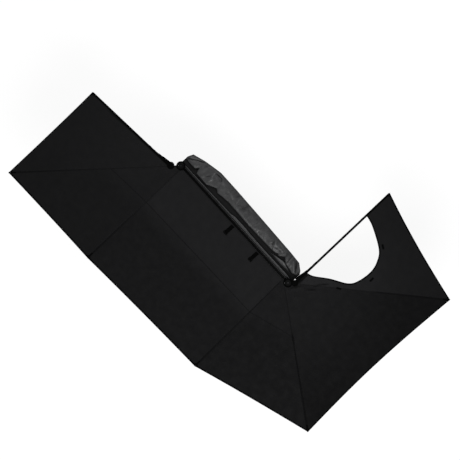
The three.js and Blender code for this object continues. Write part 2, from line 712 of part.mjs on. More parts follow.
// What the cloth leaves free round a hub's cap
function capHole(hub) {
  const top = hub.band + TUBE_HEIGHT;
  return roundBar(CAP_RADIUS + CANOPY_CAP_GAP, top - CLOTH, top + FIT + 2 * CLOTH, hub.x);
}

function addCanopy() {
  const panel = (surface, ...tools) =>
    cutFrom(sheetSolid(surface, PANEL_COLUMNS, PANEL_ROWS, CLOTH), ...tools);
  const rearHole = capHole(REAR_HUB);
  const frontHole = capHole(FRONT_HUB);
  const side = sidePanel(REAR_SIDE_ARM, FRONT_SIDE_ARM, SIDE_SCALLOP);
  const rearCornerFan = fanPanel(REAR_SIDE_ARM, REAR_CORNER_ARM, CORNER_SCALLOP);
  const rearFan = fanPanel(REAR_CORNER_ARM, TAIL_ARM, REAR_SCALLOP);
  const tailgateFan = fanPanel(TAIL_ARM, TAILGATE_ARM, TAILGATE_SCALLOP);
  const frontCornerFan = fanPanel(FRONT_CORNER_ARM, FRONT_SIDE_ARM, FRONT_SCALLOP);
  const frontFan = fanPanel(WINDSCREEN_ARM, FRONT_CORNER_ARM, FRONT_SCALLOP, WINDSCREEN_PIVOT_ALONG);
  addPiece("canopy_side_panel", panel(side, rearHole, frontHole), ripstop);
  addPiece("canopy_rear_corner_panel", panel(rearCornerFan, rearHole), ripstop);
  addPiece("canopy_rear_panel", panel(rearFan, rearHole), ripstop);
  addPiece("canopy_tailgate_panel", panel(tailgateFan, rearHole, cutoutTool(TAILGATE_ARM)), ripstop);
  addPiece("canopy_front_corner_panel", panel(frontCornerFan, frontHole), ripstop);
  addPiece("canopy_front_panel", panel(frontFan, frontHole), ripstop);
}

// Webbing straps on the side panel, from the rail outward, each with its buckle
function addStraps() {
  const [rearX, , rearLevel] = onArm(REAR_SIDE_ARM, STRAP_END);
  const [frontX, , frontLevel] = onArm(FRONT_SIDE_ARM, STRAP_END);
  const slope = (frontLevel - rearLevel) / (frontX - rearX);
  for (const [name, x] of [
    ["rear", HUB_SPACING / 2 - STRAP_SPACING],
    ["front", HUB_SPACING / 2],
  ]) {
    const low = rearLevel + slope * (x + STRAP_WIDTH / 2 - rearX) + CLOTH + FIT;
    const band = block(
      [x - STRAP_WIDTH / 2, STRAP_START, low],
      [x + STRAP_WIDTH / 2, STRAP_END, low + STRAP_THICK],
    );
    const buckleLow = low + STRAP_THICK - STRAP_SINK;
    const frame = block(
      [x - BUCKLE_WIDTH / 2, STRAP_END - BUCKLE_LENGTH - BUCKLE_BAR, buckleLow],
      [x + BUCKLE_WIDTH / 2, STRAP_END - BUCKLE_BAR, buckleLow + BUCKLE_THICK],
    );
    const opening = block(
      [x - BUCKLE_WIDTH / 2 + BUCKLE_BAR, STRAP_END - BUCKLE_LENGTH, buckleLow - CUT],
      [x + BUCKLE_WIDTH / 2 - BUCKLE_BAR, STRAP_END - 2 * BUCKLE_BAR, buckleLow + BUCKLE_THICK + CUT],
    );
    addPiece(`strap_${name}`, joined(band, cutFrom(frame, opening)), webbing);
  }
}

// The open cover: a soft shell that arches from its bead on the rail to its far edge
function addCover() {
  const beadMiddle = RAIL_BACK - FIT - BEAD_RADIUS;
  const start = beadMiddle - BEAD_RADIUS - FIT;
  const seamHeight = LIP_HEIGHT + FIT;
  const surface = (across, along) => {
    const x = COVER_REAR_END + along * (COVER_FRONT_END - COVER_REAR_END);
    const rearTaper = THREE.MathUtils.smoothstep(x - COVER_REAR_END, 0, COVER_REAR_TAPER);
    const frontTaper = Math.min((COVER_FRONT_END - x) / COVER_FRONT_TAPER, 1) ** COVER_FRONT_BULGE;
    const full = COVER_REAR_WIDTH + (COVER_FRONT_WIDTH - COVER_REAR_WIDTH) * along;
    const rearShare = COVER_REAR_SHARE + (1 - COVER_REAR_SHARE) * rearTaper;
    const width = full * rearShare * (COVER_FRONT_SHARE + (1 - COVER_FRONT_SHARE) * frontTaper);
    const y = start - width * across;
    const fall = (seamHeight - COVER_EDGE_HEIGHT) * across ** 3;
    const crown = COVER_CROWN * Math.sin(Math.PI * Math.sqrt(across));
    const wave = COVER_WAVE * Math.sin((FULL_TURN * x) / COVER_WAVE_LENGTH) * Math.sin(Math.PI * across);
    return [x, y, seamHeight - fall + crown + wave];
  };
  addPiece("cover", sheetSolid(surface, COVER_ROWS, COVER_COLUMNS, COVER_THICK), vinyl);

  const bead = new THREE.CylinderGeometry(
    BEAD_RADIUS,
    BEAD_RADIUS,
    COVER_FRONT_END - COVER_REAR_END,
    SMALL_ROUND_SIDES,
  )
    .rotateZ(Math.PI / 2)
    .translate(
      (COVER_REAR_END + COVER_FRONT_END) / 2,
      beadMiddle,
      LIP_HEIGHT + FIT + BEAD_RADIUS,
    );
  addPiece("cover_bead", bead, vinyl);
}

addRail();
addBrackets();
for (const hub of [REAR_HUB, FRONT_HUB]) addHub(hub.name, hub.x, hub.band);
for (const piece of [...HUB_ARMS, ...END_ARMS]) addArm(piece);
addCanopy();
addStraps();
addCover();

export default part;
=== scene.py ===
"""Vehicle side awning, open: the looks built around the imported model.

Seven arms on two hubs carry six panels of black ripstop. An open vinyl cover lies along the rail.
"""

import json
import math
import random

import bmesh
import bpy
from bpy.props import FloatProperty, FloatVectorProperty, IntProperty, PointerProperty
from mathutils import Matrix, Vector, noise


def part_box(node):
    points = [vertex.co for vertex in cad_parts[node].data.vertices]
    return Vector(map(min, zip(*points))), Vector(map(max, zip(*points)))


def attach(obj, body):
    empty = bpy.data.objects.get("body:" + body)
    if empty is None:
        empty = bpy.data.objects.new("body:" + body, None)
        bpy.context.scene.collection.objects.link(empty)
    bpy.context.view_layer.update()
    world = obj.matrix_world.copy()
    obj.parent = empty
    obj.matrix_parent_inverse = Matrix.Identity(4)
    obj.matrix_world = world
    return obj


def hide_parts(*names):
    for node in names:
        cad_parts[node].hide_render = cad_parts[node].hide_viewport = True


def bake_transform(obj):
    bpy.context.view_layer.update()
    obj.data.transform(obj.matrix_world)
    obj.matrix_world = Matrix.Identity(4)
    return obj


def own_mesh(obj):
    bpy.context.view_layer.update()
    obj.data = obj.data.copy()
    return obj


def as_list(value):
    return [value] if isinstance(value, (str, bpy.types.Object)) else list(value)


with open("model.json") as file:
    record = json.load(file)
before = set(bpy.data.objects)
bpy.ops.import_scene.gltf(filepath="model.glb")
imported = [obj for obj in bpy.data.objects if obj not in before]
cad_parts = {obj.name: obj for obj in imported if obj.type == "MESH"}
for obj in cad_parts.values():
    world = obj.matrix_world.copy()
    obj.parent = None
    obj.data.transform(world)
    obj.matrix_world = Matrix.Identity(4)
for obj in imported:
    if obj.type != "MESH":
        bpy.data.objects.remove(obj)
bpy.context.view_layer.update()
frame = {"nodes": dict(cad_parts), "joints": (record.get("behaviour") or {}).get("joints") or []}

bl_info = {
    "name": "Vehicle Side Awning",
    "version": (1, 0, 0),
    "blender": (4, 5, 0),
    "location": "View3D > Sidebar > Awning",
    "description": "Builds the cloth, cover, webbing and finishes of an open side awning",
    "category": "Object",
}

UP = Vector((0, 0, 1))


# Sizes and colours

class AwningClothSizes(bpy.types.PropertyGroup):
    """Sizes and colours of the canopy cloth."""

    thickness: FloatProperty(
        name="Cloth thickness", description="Thickness of the ripstop", default=0.0008, unit="LENGTH")
    lift: FloatProperty(
        name="Lift", description="Middle of the cloth above the arm tubes", default=0.0017, unit="LENGTH")
    sag: FloatProperty(
        name="Sag share", description="Sag of the cloth as a share of the span between arms", default=0.017)
    wrinkle: FloatProperty(
        name="Wrinkle height", description="Height of the waves in the cloth", default=0.0022, unit="LENGTH")
    hem_width: FloatProperty(
        name="Hem width", description="Width of the double hem", default=0.026, unit="LENGTH")
    seam_width: FloatProperty(
        name="Seam tape width", description="Width of the tape over each arm", default=0.013, unit="LENGTH")
    join_width: FloatProperty(
        name="Join width", description="Width of the seam across the panels", default=0.012, unit="LENGTH")
    colour: FloatVectorProperty(
        name="Cloth colour", description="Colour of the ripstop", subtype="COLOR",
        default=(0.0042, 0.0042, 0.0044))
    tape_colour: FloatVectorProperty(
        name="Tape colour", description="Colour of the seam tape and hems", subtype="COLOR",
        default=(0.0010, 0.0010, 0.0011))


class AwningCoverSizes(bpy.types.PropertyGroup):
    """Sizes and colours of the open cover."""

    columns: IntProperty(name="Columns", description="Faces along the cover", default=460)
    rows: IntProperty(name="Rows", description="Faces round the cover's section", default=84)
    thickness: FloatProperty(
        name="Cover thickness", description="Thickness of the coated vinyl", default=0.0013, unit="LENGTH")
    crease: FloatProperty(
        name="Crease height", description="Height of the sharp creases", default=0.0045, unit="LENGTH")
    lump: FloatProperty(
        name="Lump height", description="Height of the soft lumps", default=0.005, unit="LENGTH")
    colour: FloatVectorProperty(
        name="Cover colour", description="Colour of the coated vinyl", subtype="COLOR",
        default=(0.0090, 0.0092, 0.0096))
    # The lining colour is the cover's dark inside, darker still as painted shade where the inside lies in
    # shadow
    lining: FloatVectorProperty(
        name="Lining colour", description="Colour of the cover's inside", subtype="COLOR",
        default=(0.0022, 0.0022, 0.0023))


class AwningStageSizes(bpy.types.PropertyGroup):
    """Camera, floor and light."""

    focal: FloatProperty(
        name="Focal length", description="Focal length of the lens in millimetres", default=85.0)
    distance: FloatProperty(
        name="Camera distance", description="Lens above the canopy", default=16.3, unit="LENGTH")
    mount_height: FloatProperty(
        name="Mount height", description="Mounting face above the ground", default=1.9, unit="LENGTH")
    ambient: FloatProperty(
        name="Ambient light", description="Strength of the even surrounding light", default=0.62)
    key: FloatProperty(
        name="Key light", description="Power of the large soft lamp in watts", default=900.0)


# Small tools for numbers and paths

def clip(value, low=0.0, high=1.0):
    return max(low, min(high, value))


def ease(value):
    value = clip(value)
    return value * value * (3 - 2 * value)


def mix(a, b, share):
    return a + (b - a) * share


def bell(value):
    """One at zero, falling smoothly to nothing on both sides."""
    return math.exp(-(value ** 2))


def ripple(x, y, z):
    """Smooth noise between -1 and 1."""
    return noise.noise(Vector((x, y, z)))


def centre(points):
    return sum(points, Vector()) / len(points)


def value_at(line, x):
    """The height at x of a line through given points."""
    for (x0, y0), (x1, y1) in zip(line, line[1:]):
        if x <= x1:
            return mix(y0, y1, clip((x - x0) / (x1 - x0)))
    return line[-1][1]


def curve_at(line, share):
    """A point of the smooth curve through a line's points, at a share of its steps."""
    last = len(line) - 1
    index = min(int(clip(share) * last), last - 1)
    t = clip(share) * last - index
    a, b, c, d = (Vector(line[int(clip(index + k, 0, last))]) for k in (-1, 0, 1, 2))
    bend, twist = 2 * a - 5 * b + 4 * c - d, 3 * b - a - 3 * c + d
    return 0.5 * (2 * b + (c - a) * t + bend * t * t + twist * t ** 3)


def step_of(path, share):
    """The index of the point at a share of a path's steps."""
    return min(int(round(share * (len(path) - 1))), len(path) - 1)


def run_lengths(path):
    """The distance along a path at each of its points."""
    lengths = [0.0]
    for a, b in zip(path, path[1:]):
        lengths.append(lengths[-1] + (b - a).length)
    return lengths


def even_path(points, count):
    """Points at even steps along a path."""
    lengths = run_lengths(points)
    made, index = [], 0
    for step in range(count + 1):
        goal = lengths[-1] * step / count
        while index < len(points) - 2 and lengths[index + 1] < goal:
            index += 1
        run = max(lengths[index + 1] - lengths[index], 1e-9)
        made.append(points[index].lerp(points[index + 1], clip((goal - lengths[index]) / run)))
    return made


def rounded_path(corners, radius, steps=4):
    """A path through corner points with each inner corner rounded."""
    path = [corners[0].copy()]
    for before, corner, after in zip(corners, corners[1:], corners[2:]):
        back, ahead = before - corner, after - corner
        cut = min(radius, back.length * 0.45, ahead.length * 0.45)
        first, last = corner + back.normalized() * cut, corner + ahead.normalized() * cut
        for step in range(steps + 1):
            t = step / steps
            path.append(first * (1 - t) ** 2 + corner * 2 * t * (1 - t) + last * t * t)
    path.append(corners[-1].copy())
    return path


# Arms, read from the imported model

CORNER_REACH = 0.034  # the canopy's corner beyond the tube's end
TUBE_HALF = 0.0125  # half the width of a tube
CLEAR = TUBE_HALF + 0.001  # from a tube's middle line to where its cloth hangs free
HUB_HOLE = 0.049  # radius of the hole the cloth leaves for a hub's cap
RAIL_FACE = 0.025  # from the hub line to the rail's sides
CLOTH_ROOT = 0.013  # from the hub line to the side panel's inner edge

joints = {j["name"]: j for j in frame["joints"]}
REAR_PIN = Vector(joints["rear_side_fold"]["pos_m"])
FRONT_PIN = Vector(joints["front_side_fold"]["pos_m"])
HUB_LINE = REAR_PIN.y


class Arm:
    """One arm's tube in plan: where its middle line lies, and which way its lane is offset."""

    def __init__(self, body, pin, sense):
        self.body, self.name = body, f"{body}_arm"
        spots = [v.co for v in frame["nodes"][self.name].data.vertices]
        reach = (centre(spots) - pin).xy.length
        far = centre([p for p in spots if (p - pin).xy.length > reach])
        near = centre([p for p in spots if (p - pin).xy.length <= reach])
        self.pin = pin.xy
        self.direction = (far - near).xy.normalized()
        self.side = Vector((-self.direction.y, self.direction.x)) * sense
        self.ahead, self.beside = self.direction.to_3d(), self.side.to_3d()
        self.offset = (near.xy - self.pin).dot(self.side)
        self.end = (far.xy - self.pin).dot(self.direction)
        self.corner = self.end + CORNER_REACH
        low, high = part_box(self.name)
        self.bottom, self.top = low[2], high[2]

    def at(self, along, sideways=0.0):
        """A point on the tube's middle line in plan, moved sideways towards the fan's open side."""
        return self.pin + self.direction * along + self.side * (self.offset + sideways)

    def spot(self, along, height, sideways=0.0):
        """The same point at a height."""
        return Vector((*self.at(along, sideways), height))

    def lateral(self, point):
        """Distance of a plan point from the tube's middle line, positive towards the fan's open side."""
        return (Vector(point[:2]) - self.pin).dot(self.side) - self.offset

    def along(self, point):
        return (Vector(point[:2]) - self.pin).dot(self.direction)


REAR_SIDE = Arm("rear_side", REAR_PIN, 1)
REAR_CORNER = Arm("rear_corner", REAR_PIN, 1)
TAIL = Arm("tail", REAR_PIN, 1)
TAILGATE = Arm("tailgate", Vector(joints["tailgate_fold"]["pos_m"]), 1)
FRONT_SIDE = Arm("front_side", FRONT_PIN, -1)
FRONT_CORNER = Arm("front_corner", FRONT_PIN, -1)
WINDSCREEN = Arm("windscreen", Vector(joints["windscreen_fold"]["pos_m"]), -1)
ARMS = (REAR_SIDE, REAR_CORNER, TAIL, TAILGATE, FRONT_SIDE, FRONT_CORNER, WINDSCREEN)


def from_hub(u, v):
    """A plan point from its distances ahead of the rear hub and beside the hub line."""
    return Vector((REAR_PIN.x + u, HUB_LINE + v))


# Tools for meshes and pieces

def strip(length, width):
    """A map in metres for a strip whose first share runs across it and whose second runs along it."""
    return lambda a, b: (b * length, a * width)


def lay_grid(bm, across, along, place, material=0, uv=None):
    """Adds a grid whose point at (a, b), each from 0 to 1, goes where place(a, b) says; uv(a, b) maps it."""
    made = bmesh.ops.create_grid(bm, x_segments=across, y_segments=along, size=0.5)
    layer = bm.loops.layers.uv.verify()
    where = {v: (clip(v.co.x + 0.5), clip(v.co.y + 0.5)) for v in made["verts"]}
    faces = dict.fromkeys(f for v in made["verts"] for f in v.link_faces)
    for vert, (a, b) in where.items():
        vert.co = place(a, b)
    for face in faces:
        face.material_index = material
        face.smooth = True
        for loop in face.loops:
            loop[layer].uv = uv(*where[loop.vert]) if uv else loop.vert.co.xy
    return list(where), list(faces)


def lay_band(bm, path, across, width, thickness, material=0, steps=4):
    """Adds a closed band of webbing along a path of points, with its width along the across vector."""
    lengths = run_lengths(path)
    across = across.normalized()
    faces = lay_grid(
        bm, steps, len(path) - 1, lambda a, b: path[step_of(path, b)] + across * (a - 0.5) * width,
        material, lambda a, b: (lengths[step_of(path, b)], a * width))[1]
    bmesh.ops.solidify(bm, geom=faces, thickness=thickness)


def lay_pipe(bm, path, radius, material=0, sides=6):
    """Adds a round piping along a path of points."""

    def spot(a, b):
        index = step_of(path, b)
        before, after = path[max(index - 1, 0)], path[min(index + 1, len(path) - 1)]
        beside = (after - before).cross(UP).normalized()
        turn = 2 * math.pi * a
        return path[index] + beside * math.cos(turn) * radius + UP * math.sin(turn) * radius

    mapped = strip(run_lengths(path)[-1], radius * 6)
    verts = lay_grid(bm, sides, len(path) - 1, spot, material, mapped)[0]
    bmesh.ops.remove_doubles(bm, verts=verts, dist=radius * 0.01)


def lay_stitches(bm, spot, steps):
    """Adds a fine raised row of stitches, whose points spot(t) gives."""
    lay_pipe(bm, [spot(step / steps) for step in range(steps + 1)], 0.0006, sides=5)


def face_up(bm, spared=None):
    """Turns open sheets so that they look up, apart from the faces with the spared material."""
    bm.normal_update()
    down = [f for f in bm.faces if f.normal.z < 0 and f.material_index != spared]
    bmesh.ops.reverse_faces(bm, faces=down)


def paint(bm, tone):
    """Gives each point the tone that tone(point) says; the cloth and vinyl materials read it."""
    layer = bm.verts.layers.float.new("tone")
    for vert in bm.verts:
        vert[layer] = tone(vert.co)


def soften(piece, width):
    """A small live bevel that catches the light along hard edges."""
    edge = piece.modifiers.new("Edges", "BEVEL")
    edge.width, edge.segments = width, 2
    edge.limit_method = "ANGLE"
    edge.angle_limit = math.radians(50)


def finish_piece(name, bm, finishes, body=None, thickness=None):
    """Turns a bmesh into a named object at the origin, with its materials, slot and body."""
    mesh = bpy.data.meshes.new(name)
    bm.to_mesh(mesh)
    bm.free()
    for finish in finishes:
        mesh.materials.append(FINISHES[finish])
    piece = bpy.data.objects.new(name, mesh)
    bpy.context.scene.collection.objects.link(piece)
    if thickness:
        wall = piece.modifiers.new("Wall", "SOLIDIFY")
        wall.thickness, wall.offset = thickness, 0.0
        wall.use_even_offset = False
    if body:
        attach(piece, body)
    return piece


def sheet_size(piece):
    """Flat size of a taut sheet: the box of its plan."""
    xs = [v.co.x for v in piece.data.vertices]
    ys = [v.co.y for v in piece.data.vertices]
    return max(xs) - min(xs), max(ys) - min(ys)


def sheet_area(piece, flat):
    """The cut's area, from the cloth's own faces, hems and patches included."""
    area = sum(f.area for f in piece.data.polygons)
    return min(area, flat[0] * flat[1])


def gather(piece):
    """Gives a piece between the hubs its own copy of its mesh."""
    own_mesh(piece)


# Materials

class Nodes:
    """Short calls for building the node tree of a material or world."""

    def __init__(self, holder):
        holder.use_nodes = True
        self.holder, self.tree = holder, holder.node_tree

    def feed(self, socket, value):
        """Links an output to a socket, or writes a fixed value there."""
        if isinstance(value, bpy.types.NodeSocket):
            self.tree.links.new(value, socket)
        else:
            socket.default_value = value

    def add(self, kind, inputs=(), **settings):
        node = self.tree.nodes.new(kind)
        for key, value in settings.items():
            setattr(node, key, value)
        for socket, value in dict(inputs).items():
            self.feed(node.inputs[socket], value)
        return node

    def place(self):
        """The place on the piece, in metres."""
        return self.add("ShaderNodeTexCoord").outputs["Object"]

    def cloth_map(self):
        """The cloth's own map in metres, then its two parts: along and across."""
        where = self.add("ShaderNodeTexCoord").outputs["UV"]
        apart = self.add("ShaderNodeSeparateXYZ", {"Vector": where})
        return where, apart.outputs["X"], apart.outputs["Y"]

    def tone(self):
        return self.add("ShaderNodeAttribute", attribute_name="tone").outputs["Fac"]

    def noise(self, where, scale, detail=3.0, roughness=0.55, stretch=None):
        if stretch:
            where = self.add("ShaderNodeMapping", {"Vector": where, "Scale": stretch}).outputs["Vector"]
        inputs = {"Vector": where, "Scale": scale, "Detail": detail, "Roughness": roughness}
        return self.add("ShaderNodeTexNoise", inputs).outputs["Fac"]

    def maths(self, operation, a, b=0.0):
        return self.add("ShaderNodeMath", {0: a, 1: b}, operation=operation).outputs[0]

    def times(self, a, b):
        return self.maths("MULTIPLY", a, b)

    def waves(self, value, pitch):
        return self.maths("SINE", self.times(value, 2 * math.pi / pitch))

    def ranged(self, value, low, high, to_low=0.0, to_high=1.0):
        inputs = {"Value": value, "From Min": low, "From Max": high, "To Min": to_low, "To Max": to_high}
        return self.add("ShaderNodeMapRange", inputs).outputs["Result"]

    def spread(self, value, to_low=0.0, to_high=1.0):
        """Stretches the usual range of a noise over two values."""
        return self.ranged(value, 0.3, 0.7, to_low, to_high)

    def rgba(self, colour):
        return colour if isinstance(colour, bpy.types.NodeSocket) else (*colour[:3], 1.0)

    def blend(self, share, first, second, kind="MIX"):
        inputs = {0: share, 6: self.rgba(first), 7: self.rgba(second)}
        return self.add("ShaderNodeMix", inputs, data_type="RGBA", blend_type=kind).outputs[2]

    def grey(self, level):
        return self.add("ShaderNodeCombineXYZ", {0: level, 1: level, 2: level}).outputs[0]

    def toned(self, colour, level):
        return self.blend(1.0, colour, self.grey(level), "MULTIPLY")

    def bump(self, height, distance, strength, before=None):
        inputs = {"Height": height, "Distance": distance, "Strength": strength}
        if before is not None:
            inputs["Normal"] = before
        return self.add("ShaderNodeBump", inputs).outputs["Normal"]

    def stitches(self, along, across, width, inset, half, pitch):
        """A row of stitches beside each edge of a tape: their inset, half width and pitch, in metres."""
        from_edge = self.maths("MINIMUM", across, self.maths("SUBTRACT", width, across))
        from_row = self.maths("ABSOLUTE", self.maths("SUBTRACT", from_edge, inset))
        dash = self.maths("FRACT", self.times(along, 1 / pitch))
        return self.times(
            self.ranged(from_row, half, half + 0.0003, 1.0, 0.0), self.ranged(dash, 0.70, 0.76, 1.0, 0.0))

    def seen(self):
        """One for rays that reach the camera, straight or by way of gloss or glass."""
        rays = self.add("ShaderNodeLightPath").outputs
        bent = self.maths("MAXIMUM", rays["Is Glossy Ray"], rays["Is Transmission Ray"])
        return self.maths("MAXIMUM", rays["Is Camera Ray"], bent)

    def finish(self, colour, roughness, normal=None, **others):
        """Feeds the main shader and gives the material back."""
        shader = self.tree.nodes["Principled BSDF"]
        others.update(Base_Color=colour, Roughness=roughness)
        if normal is not None:
            others["Normal"] = normal
        for name, value in others.items():
            self.feed(shader.inputs[name.replace("_", " ")], value)
        return self.holder


def new_material(name):
    return Nodes(bpy.data.materials.new(name))


def shade(colour, factor):
    return tuple(c * factor for c in colour)


def ripstop_material(colour):
    """Black ripstop: a fine plain weave with a raised grid of thicker yarns, in the tone of each panel."""
    made = new_material("Ripstop")
    where, along, across = made.cloth_map()
    yarn_pitch, ribs = 0.0075, []
    for way in (along, across):
        cell = made.maths("FRACT", made.times(way, 1 / yarn_pitch))
        from_middle = made.maths("ABSOLUTE", made.maths("SUBTRACT", cell, 0.5))
        ribs.append(made.ranged(from_middle, 0.44, 0.48))
    grid = made.maths("MAXIMUM", *ribs)
    inputs = {"Vector": where, "Scale": 420.0, "Distortion": 0.6}
    bands = made.add("ShaderNodeTexWave", inputs, wave_type="BANDS", bands_direction="DIAGONAL")
    faded = made.spread(made.noise(where, 2.2, 4.0), 0.96, 1.04)
    base = made.blend(grid, shade(colour, 0.94), shade(colour, 1.35))
    base = made.toned(base, made.times(made.tone(), faded))
    dust = made.ranged(made.noise(where, 28.0, 6.0, 0.7), 0.58, 0.78, 0.0, 0.07)
    base = made.blend(dust, base, shade(colour, 1.45))
    rough = made.spread(made.noise(where, 9.0), 0.62, 0.82)
    threads = made.maths("ADD", made.times(grid, 0.7), made.times(bands.outputs["Fac"], 0.3))
    normal = made.bump(threads, 0.00012, 0.5)
    normal = made.bump(made.noise(where, 30.0, 4.0), 0.0006, 0.3, normal)
    return made.finish(base, rough, normal, Specular_IOR_Level=0.03)


def tape_material(name, colour, width, rib=0.0016, thread=3.2):
    """Woven tape, with a map that runs along it and across it, and a row of stitches along each side."""
    made = new_material(name)
    where, along, across = made.cloth_map()
    stitch = made.stitches(along, across, width, 0.0028, 0.0004, 0.0052)
    woven = made.times(made.waves(along, rib), made.waves(across, 0.0021))
    worn = made.noise(where, 60.0, 5.0)
    base = made.blend(made.ranged(worn, 0.35, 0.75), shade(colour, 0.8), shade(colour, 1.5))
    base = made.blend(made.ranged(woven, -1.0, 1.0, 0.0, 0.35), base, shade(colour, 1.9))
    base = made.blend(stitch, base, shade(colour, thread))
    normal = made.bump(made.maths("ADD", made.times(woven, 0.35), stitch), 0.00035, 0.6)
    return made.finish(base, made.spread(worn, 0.72, 0.9), normal, Specular_IOR_Level=0.015)


def seam_material(cloth, black, width):
    """Felled seam: two folded edges and a row of stitches, from the cloth's own tone to near black; the
    darkest stretches are painted shade of the folds beside the arm.
    """
    made = new_material("Arm seam")
    where, along, across = made.cloth_map()
    stitch = made.stitches(along, across, width, 0.0026, 0.0003, 0.0048)
    worn = made.noise(where, 60.0, 5.0)
    pale = made.blend(made.ranged(worn, 0.35, 0.75), shade(cloth, 0.85), shade(cloth, 1.1))
    base = made.blend(made.tone(), pale, black)
    base = made.blend(made.times(stitch, 0.5), base, shade(cloth, 1.3))
    normal = made.bump(stitch, 0.00035, 0.6)
    return made.finish(base, made.spread(worn, 0.72, 0.9), normal, Specular_IOR_Level=0.03)


def vinyl_material(name, colour, gloss=0.36, sheen=0.19):
    """PVC coated cloth: a fine scrim under the coating, creased and dusty; the tone attribute, which holds
    painted highlights and painted shade, scales its colour and its gloss.
    """
    made = new_material(name)
    where, along, across = made.cloth_map()
    scrim = 0.0016
    threads = made.times(made.waves(along, scrim), made.waves(across, scrim))
    inputs = {"Vector": where, "Scale": 34.0, "Randomness": 1.0}
    crumple = made.add("ShaderNodeTexVoronoi", inputs, feature="DISTANCE_TO_EDGE").outputs["Distance"]
    fold_line = made.ranged(crumple, 0.0, 0.09, 1.0, 0.0)
    base = made.blend(made.spread(made.noise(where, 6.0, 5.0)), shade(colour, 0.86), shade(colour, 1.16))
    base = made.blend(made.times(fold_line, 0.18), base, shade(colour, 1.7))
    dust = made.ranged(made.noise(where, 40.0, 7.0, 0.7), 0.56, 0.78, 0.0, 0.28)
    base = made.blend(dust, base, shade(colour, 1.9))
    # the tone holds painted highlights and painted shade; it scales the colour and the gloss
    tone = made.tone()
    base = made.toned(base, tone)
    rough = made.spread(made.noise(where, 14.0, 4.0), gloss, gloss + 0.2)
    normal = made.bump(threads, 0.0001, 0.35)
    normal = made.bump(made.noise(where, 26.0, 5.0, 0.6), 0.0012, 0.35, normal)
    normal = made.bump(crumple, 0.0012, 0.2, normal)
    return made.finish(base, rough, normal, Specular_IOR_Level=made.times(tone, sheen))


def hard_material(name, colours, marks, grain, rough, relief, peel=None, **others):
    """Paint, metal or nylon: marks blend two colours, and a grain or peel makes the surface uneven."""
    made = new_material(name)
    where = made.place()
    mark_noise, mark_range = marks
    base = made.blend(made.ranged(made.noise(where, *mark_noise), *mark_range), *colours)
    texture = made.noise(where, *grain)
    normal = made.bump(made.noise(where, *peel) if peel else texture, *relief)
    return made.finish(base, made.spread(texture, *rough), normal, **others)


def powder_coat_material():
    """Satin black powder coat with orange peel and fine scuffs."""
    return hard_material(
        "Powder coat", ((0.0005, 0.0005, 0.0005), (0.0022, 0.0022, 0.0023)),
        marks=((30.0, 6.0, 0.7, (1.0, 9.0, 9.0)), (0.60, 0.74)), grain=(55.0, 4.0), rough=(0.36, 0.52),
        relief=(0.00012, 0.45), peel=(900.0, 2.0), Specular_IOR_Level=0.025, Metallic=0.0)


def cast_material():
    """Cast aluminium under matt black paint: coarse grain, with rubbed high spots."""
    return hard_material(
        "Black casting", ((0.0006, 0.0006, 0.0006), (0.0034, 0.0034, 0.0036)),
        marks=((38.0, 5.0), (0.62, 0.74)), grain=(420.0, 5.0, 0.65), rough=(0.5, 0.72),
        relief=(0.0005, 0.6), Specular_IOR_Level=0.03)


def steel_material(name, dark, light):
    """Plated steel, brushed and slightly cloudy."""
    return hard_material(
        name, (dark, light), marks=((60.0, 4.0), (0.3, 0.7)), grain=(700.0, 3.0, 0.6, (1.0, 1.0, 8.0)),
        rough=(0.22, 0.42), relief=(0.00006, 0.6), Metallic=1.0)


def nylon_material():
    """Moulded black nylon with a fine spark texture."""
    return hard_material(
        "Moulded nylon", ((0.0014, 0.0014, 0.0015), (0.0050, 0.0050, 0.0052)),
        marks=((70.0, 5.0), (0.62, 0.74)), grain=(1100.0, 3.0, 0.6), rough=(0.46, 0.64),
        relief=(0.00015, 0.5), Specular_IOR_Level=0.06)


FINISHES = {}
WEBBING_WIDTH = 0.044  # the width the stitches on the webbing are set for


class AWNING_OT_finishes(bpy.types.Operator):
    """Make the cloth, webbing, vinyl, paint and metal finishes"""

    bl_idname = "awning.finishes"
    bl_label = "Make Finishes"

    def execute(self, context):
        cloth, cover = context.scene.awning_cloth, context.scene.awning_cover
        join_colour, webbing_colour = shade(cloth.colour, 0.78), (0.0004, 0.0004, 0.0004)
        FINISHES.update(
            ripstop=ripstop_material(cloth.colour),
            seam=seam_material(cloth.colour, cloth.tape_colour, cloth.seam_width),
            hem=tape_material("Hem", cloth.tape_colour, cloth.hem_width),
            join=tape_material("Cloth join", join_colour, cloth.join_width, thread=1.1),
            webbing=tape_material("Webbing", webbing_colour, WEBBING_WIDTH, rib=0.0022, thread=2.6),
            vinyl=vinyl_material("Coated vinyl", cover.colour),
            # the dark inside: the cover's lining with painted shade
            lining=vinyl_material("Vinyl inside and painted shade", cover.lining, 0.5, 0.05),
            powder_coat=powder_coat_material(),
            casting=cast_material(),
            steel=steel_material("Zinc steel", (0.20, 0.205, 0.215), (0.38, 0.38, 0.375)),
            black_steel=steel_material("Blackened steel", (0.006, 0.006, 0.0065), (0.016, 0.016, 0.017)),
            nylon=nylon_material(),
        )
        return {"FINISHED"}


# Metalwork

class AWNING_OT_metalwork(bpy.types.Operator):
    """Give the rail, brackets, hubs, arms and fasteners their finishes"""

    bl_idname = "awning.metalwork"
    bl_label = "Finish Metalwork"

    def execute(self, context):
        for name, node in frame["nodes"].items():
            node.data.materials.clear()
            node.data.materials.append(FINISHES[self.finish_of(name)])
        return {"FINISHED"}

    def finish_of(self, name):
        if "hub" in name and "bolt" in name:
            return "black_steel"
        if "bolt" in name or name.endswith("_pin"):
            return "steel"
        if any(word in name for word in ("hub_base", "hub_cap", "knuckle")) or name.endswith("_pivot"):
            return "casting"
        if "sleeve" in name or "end_cap" in name or name.endswith("_tip"):
            return "nylon"
        return "powder_coat"


# The canopy's surface

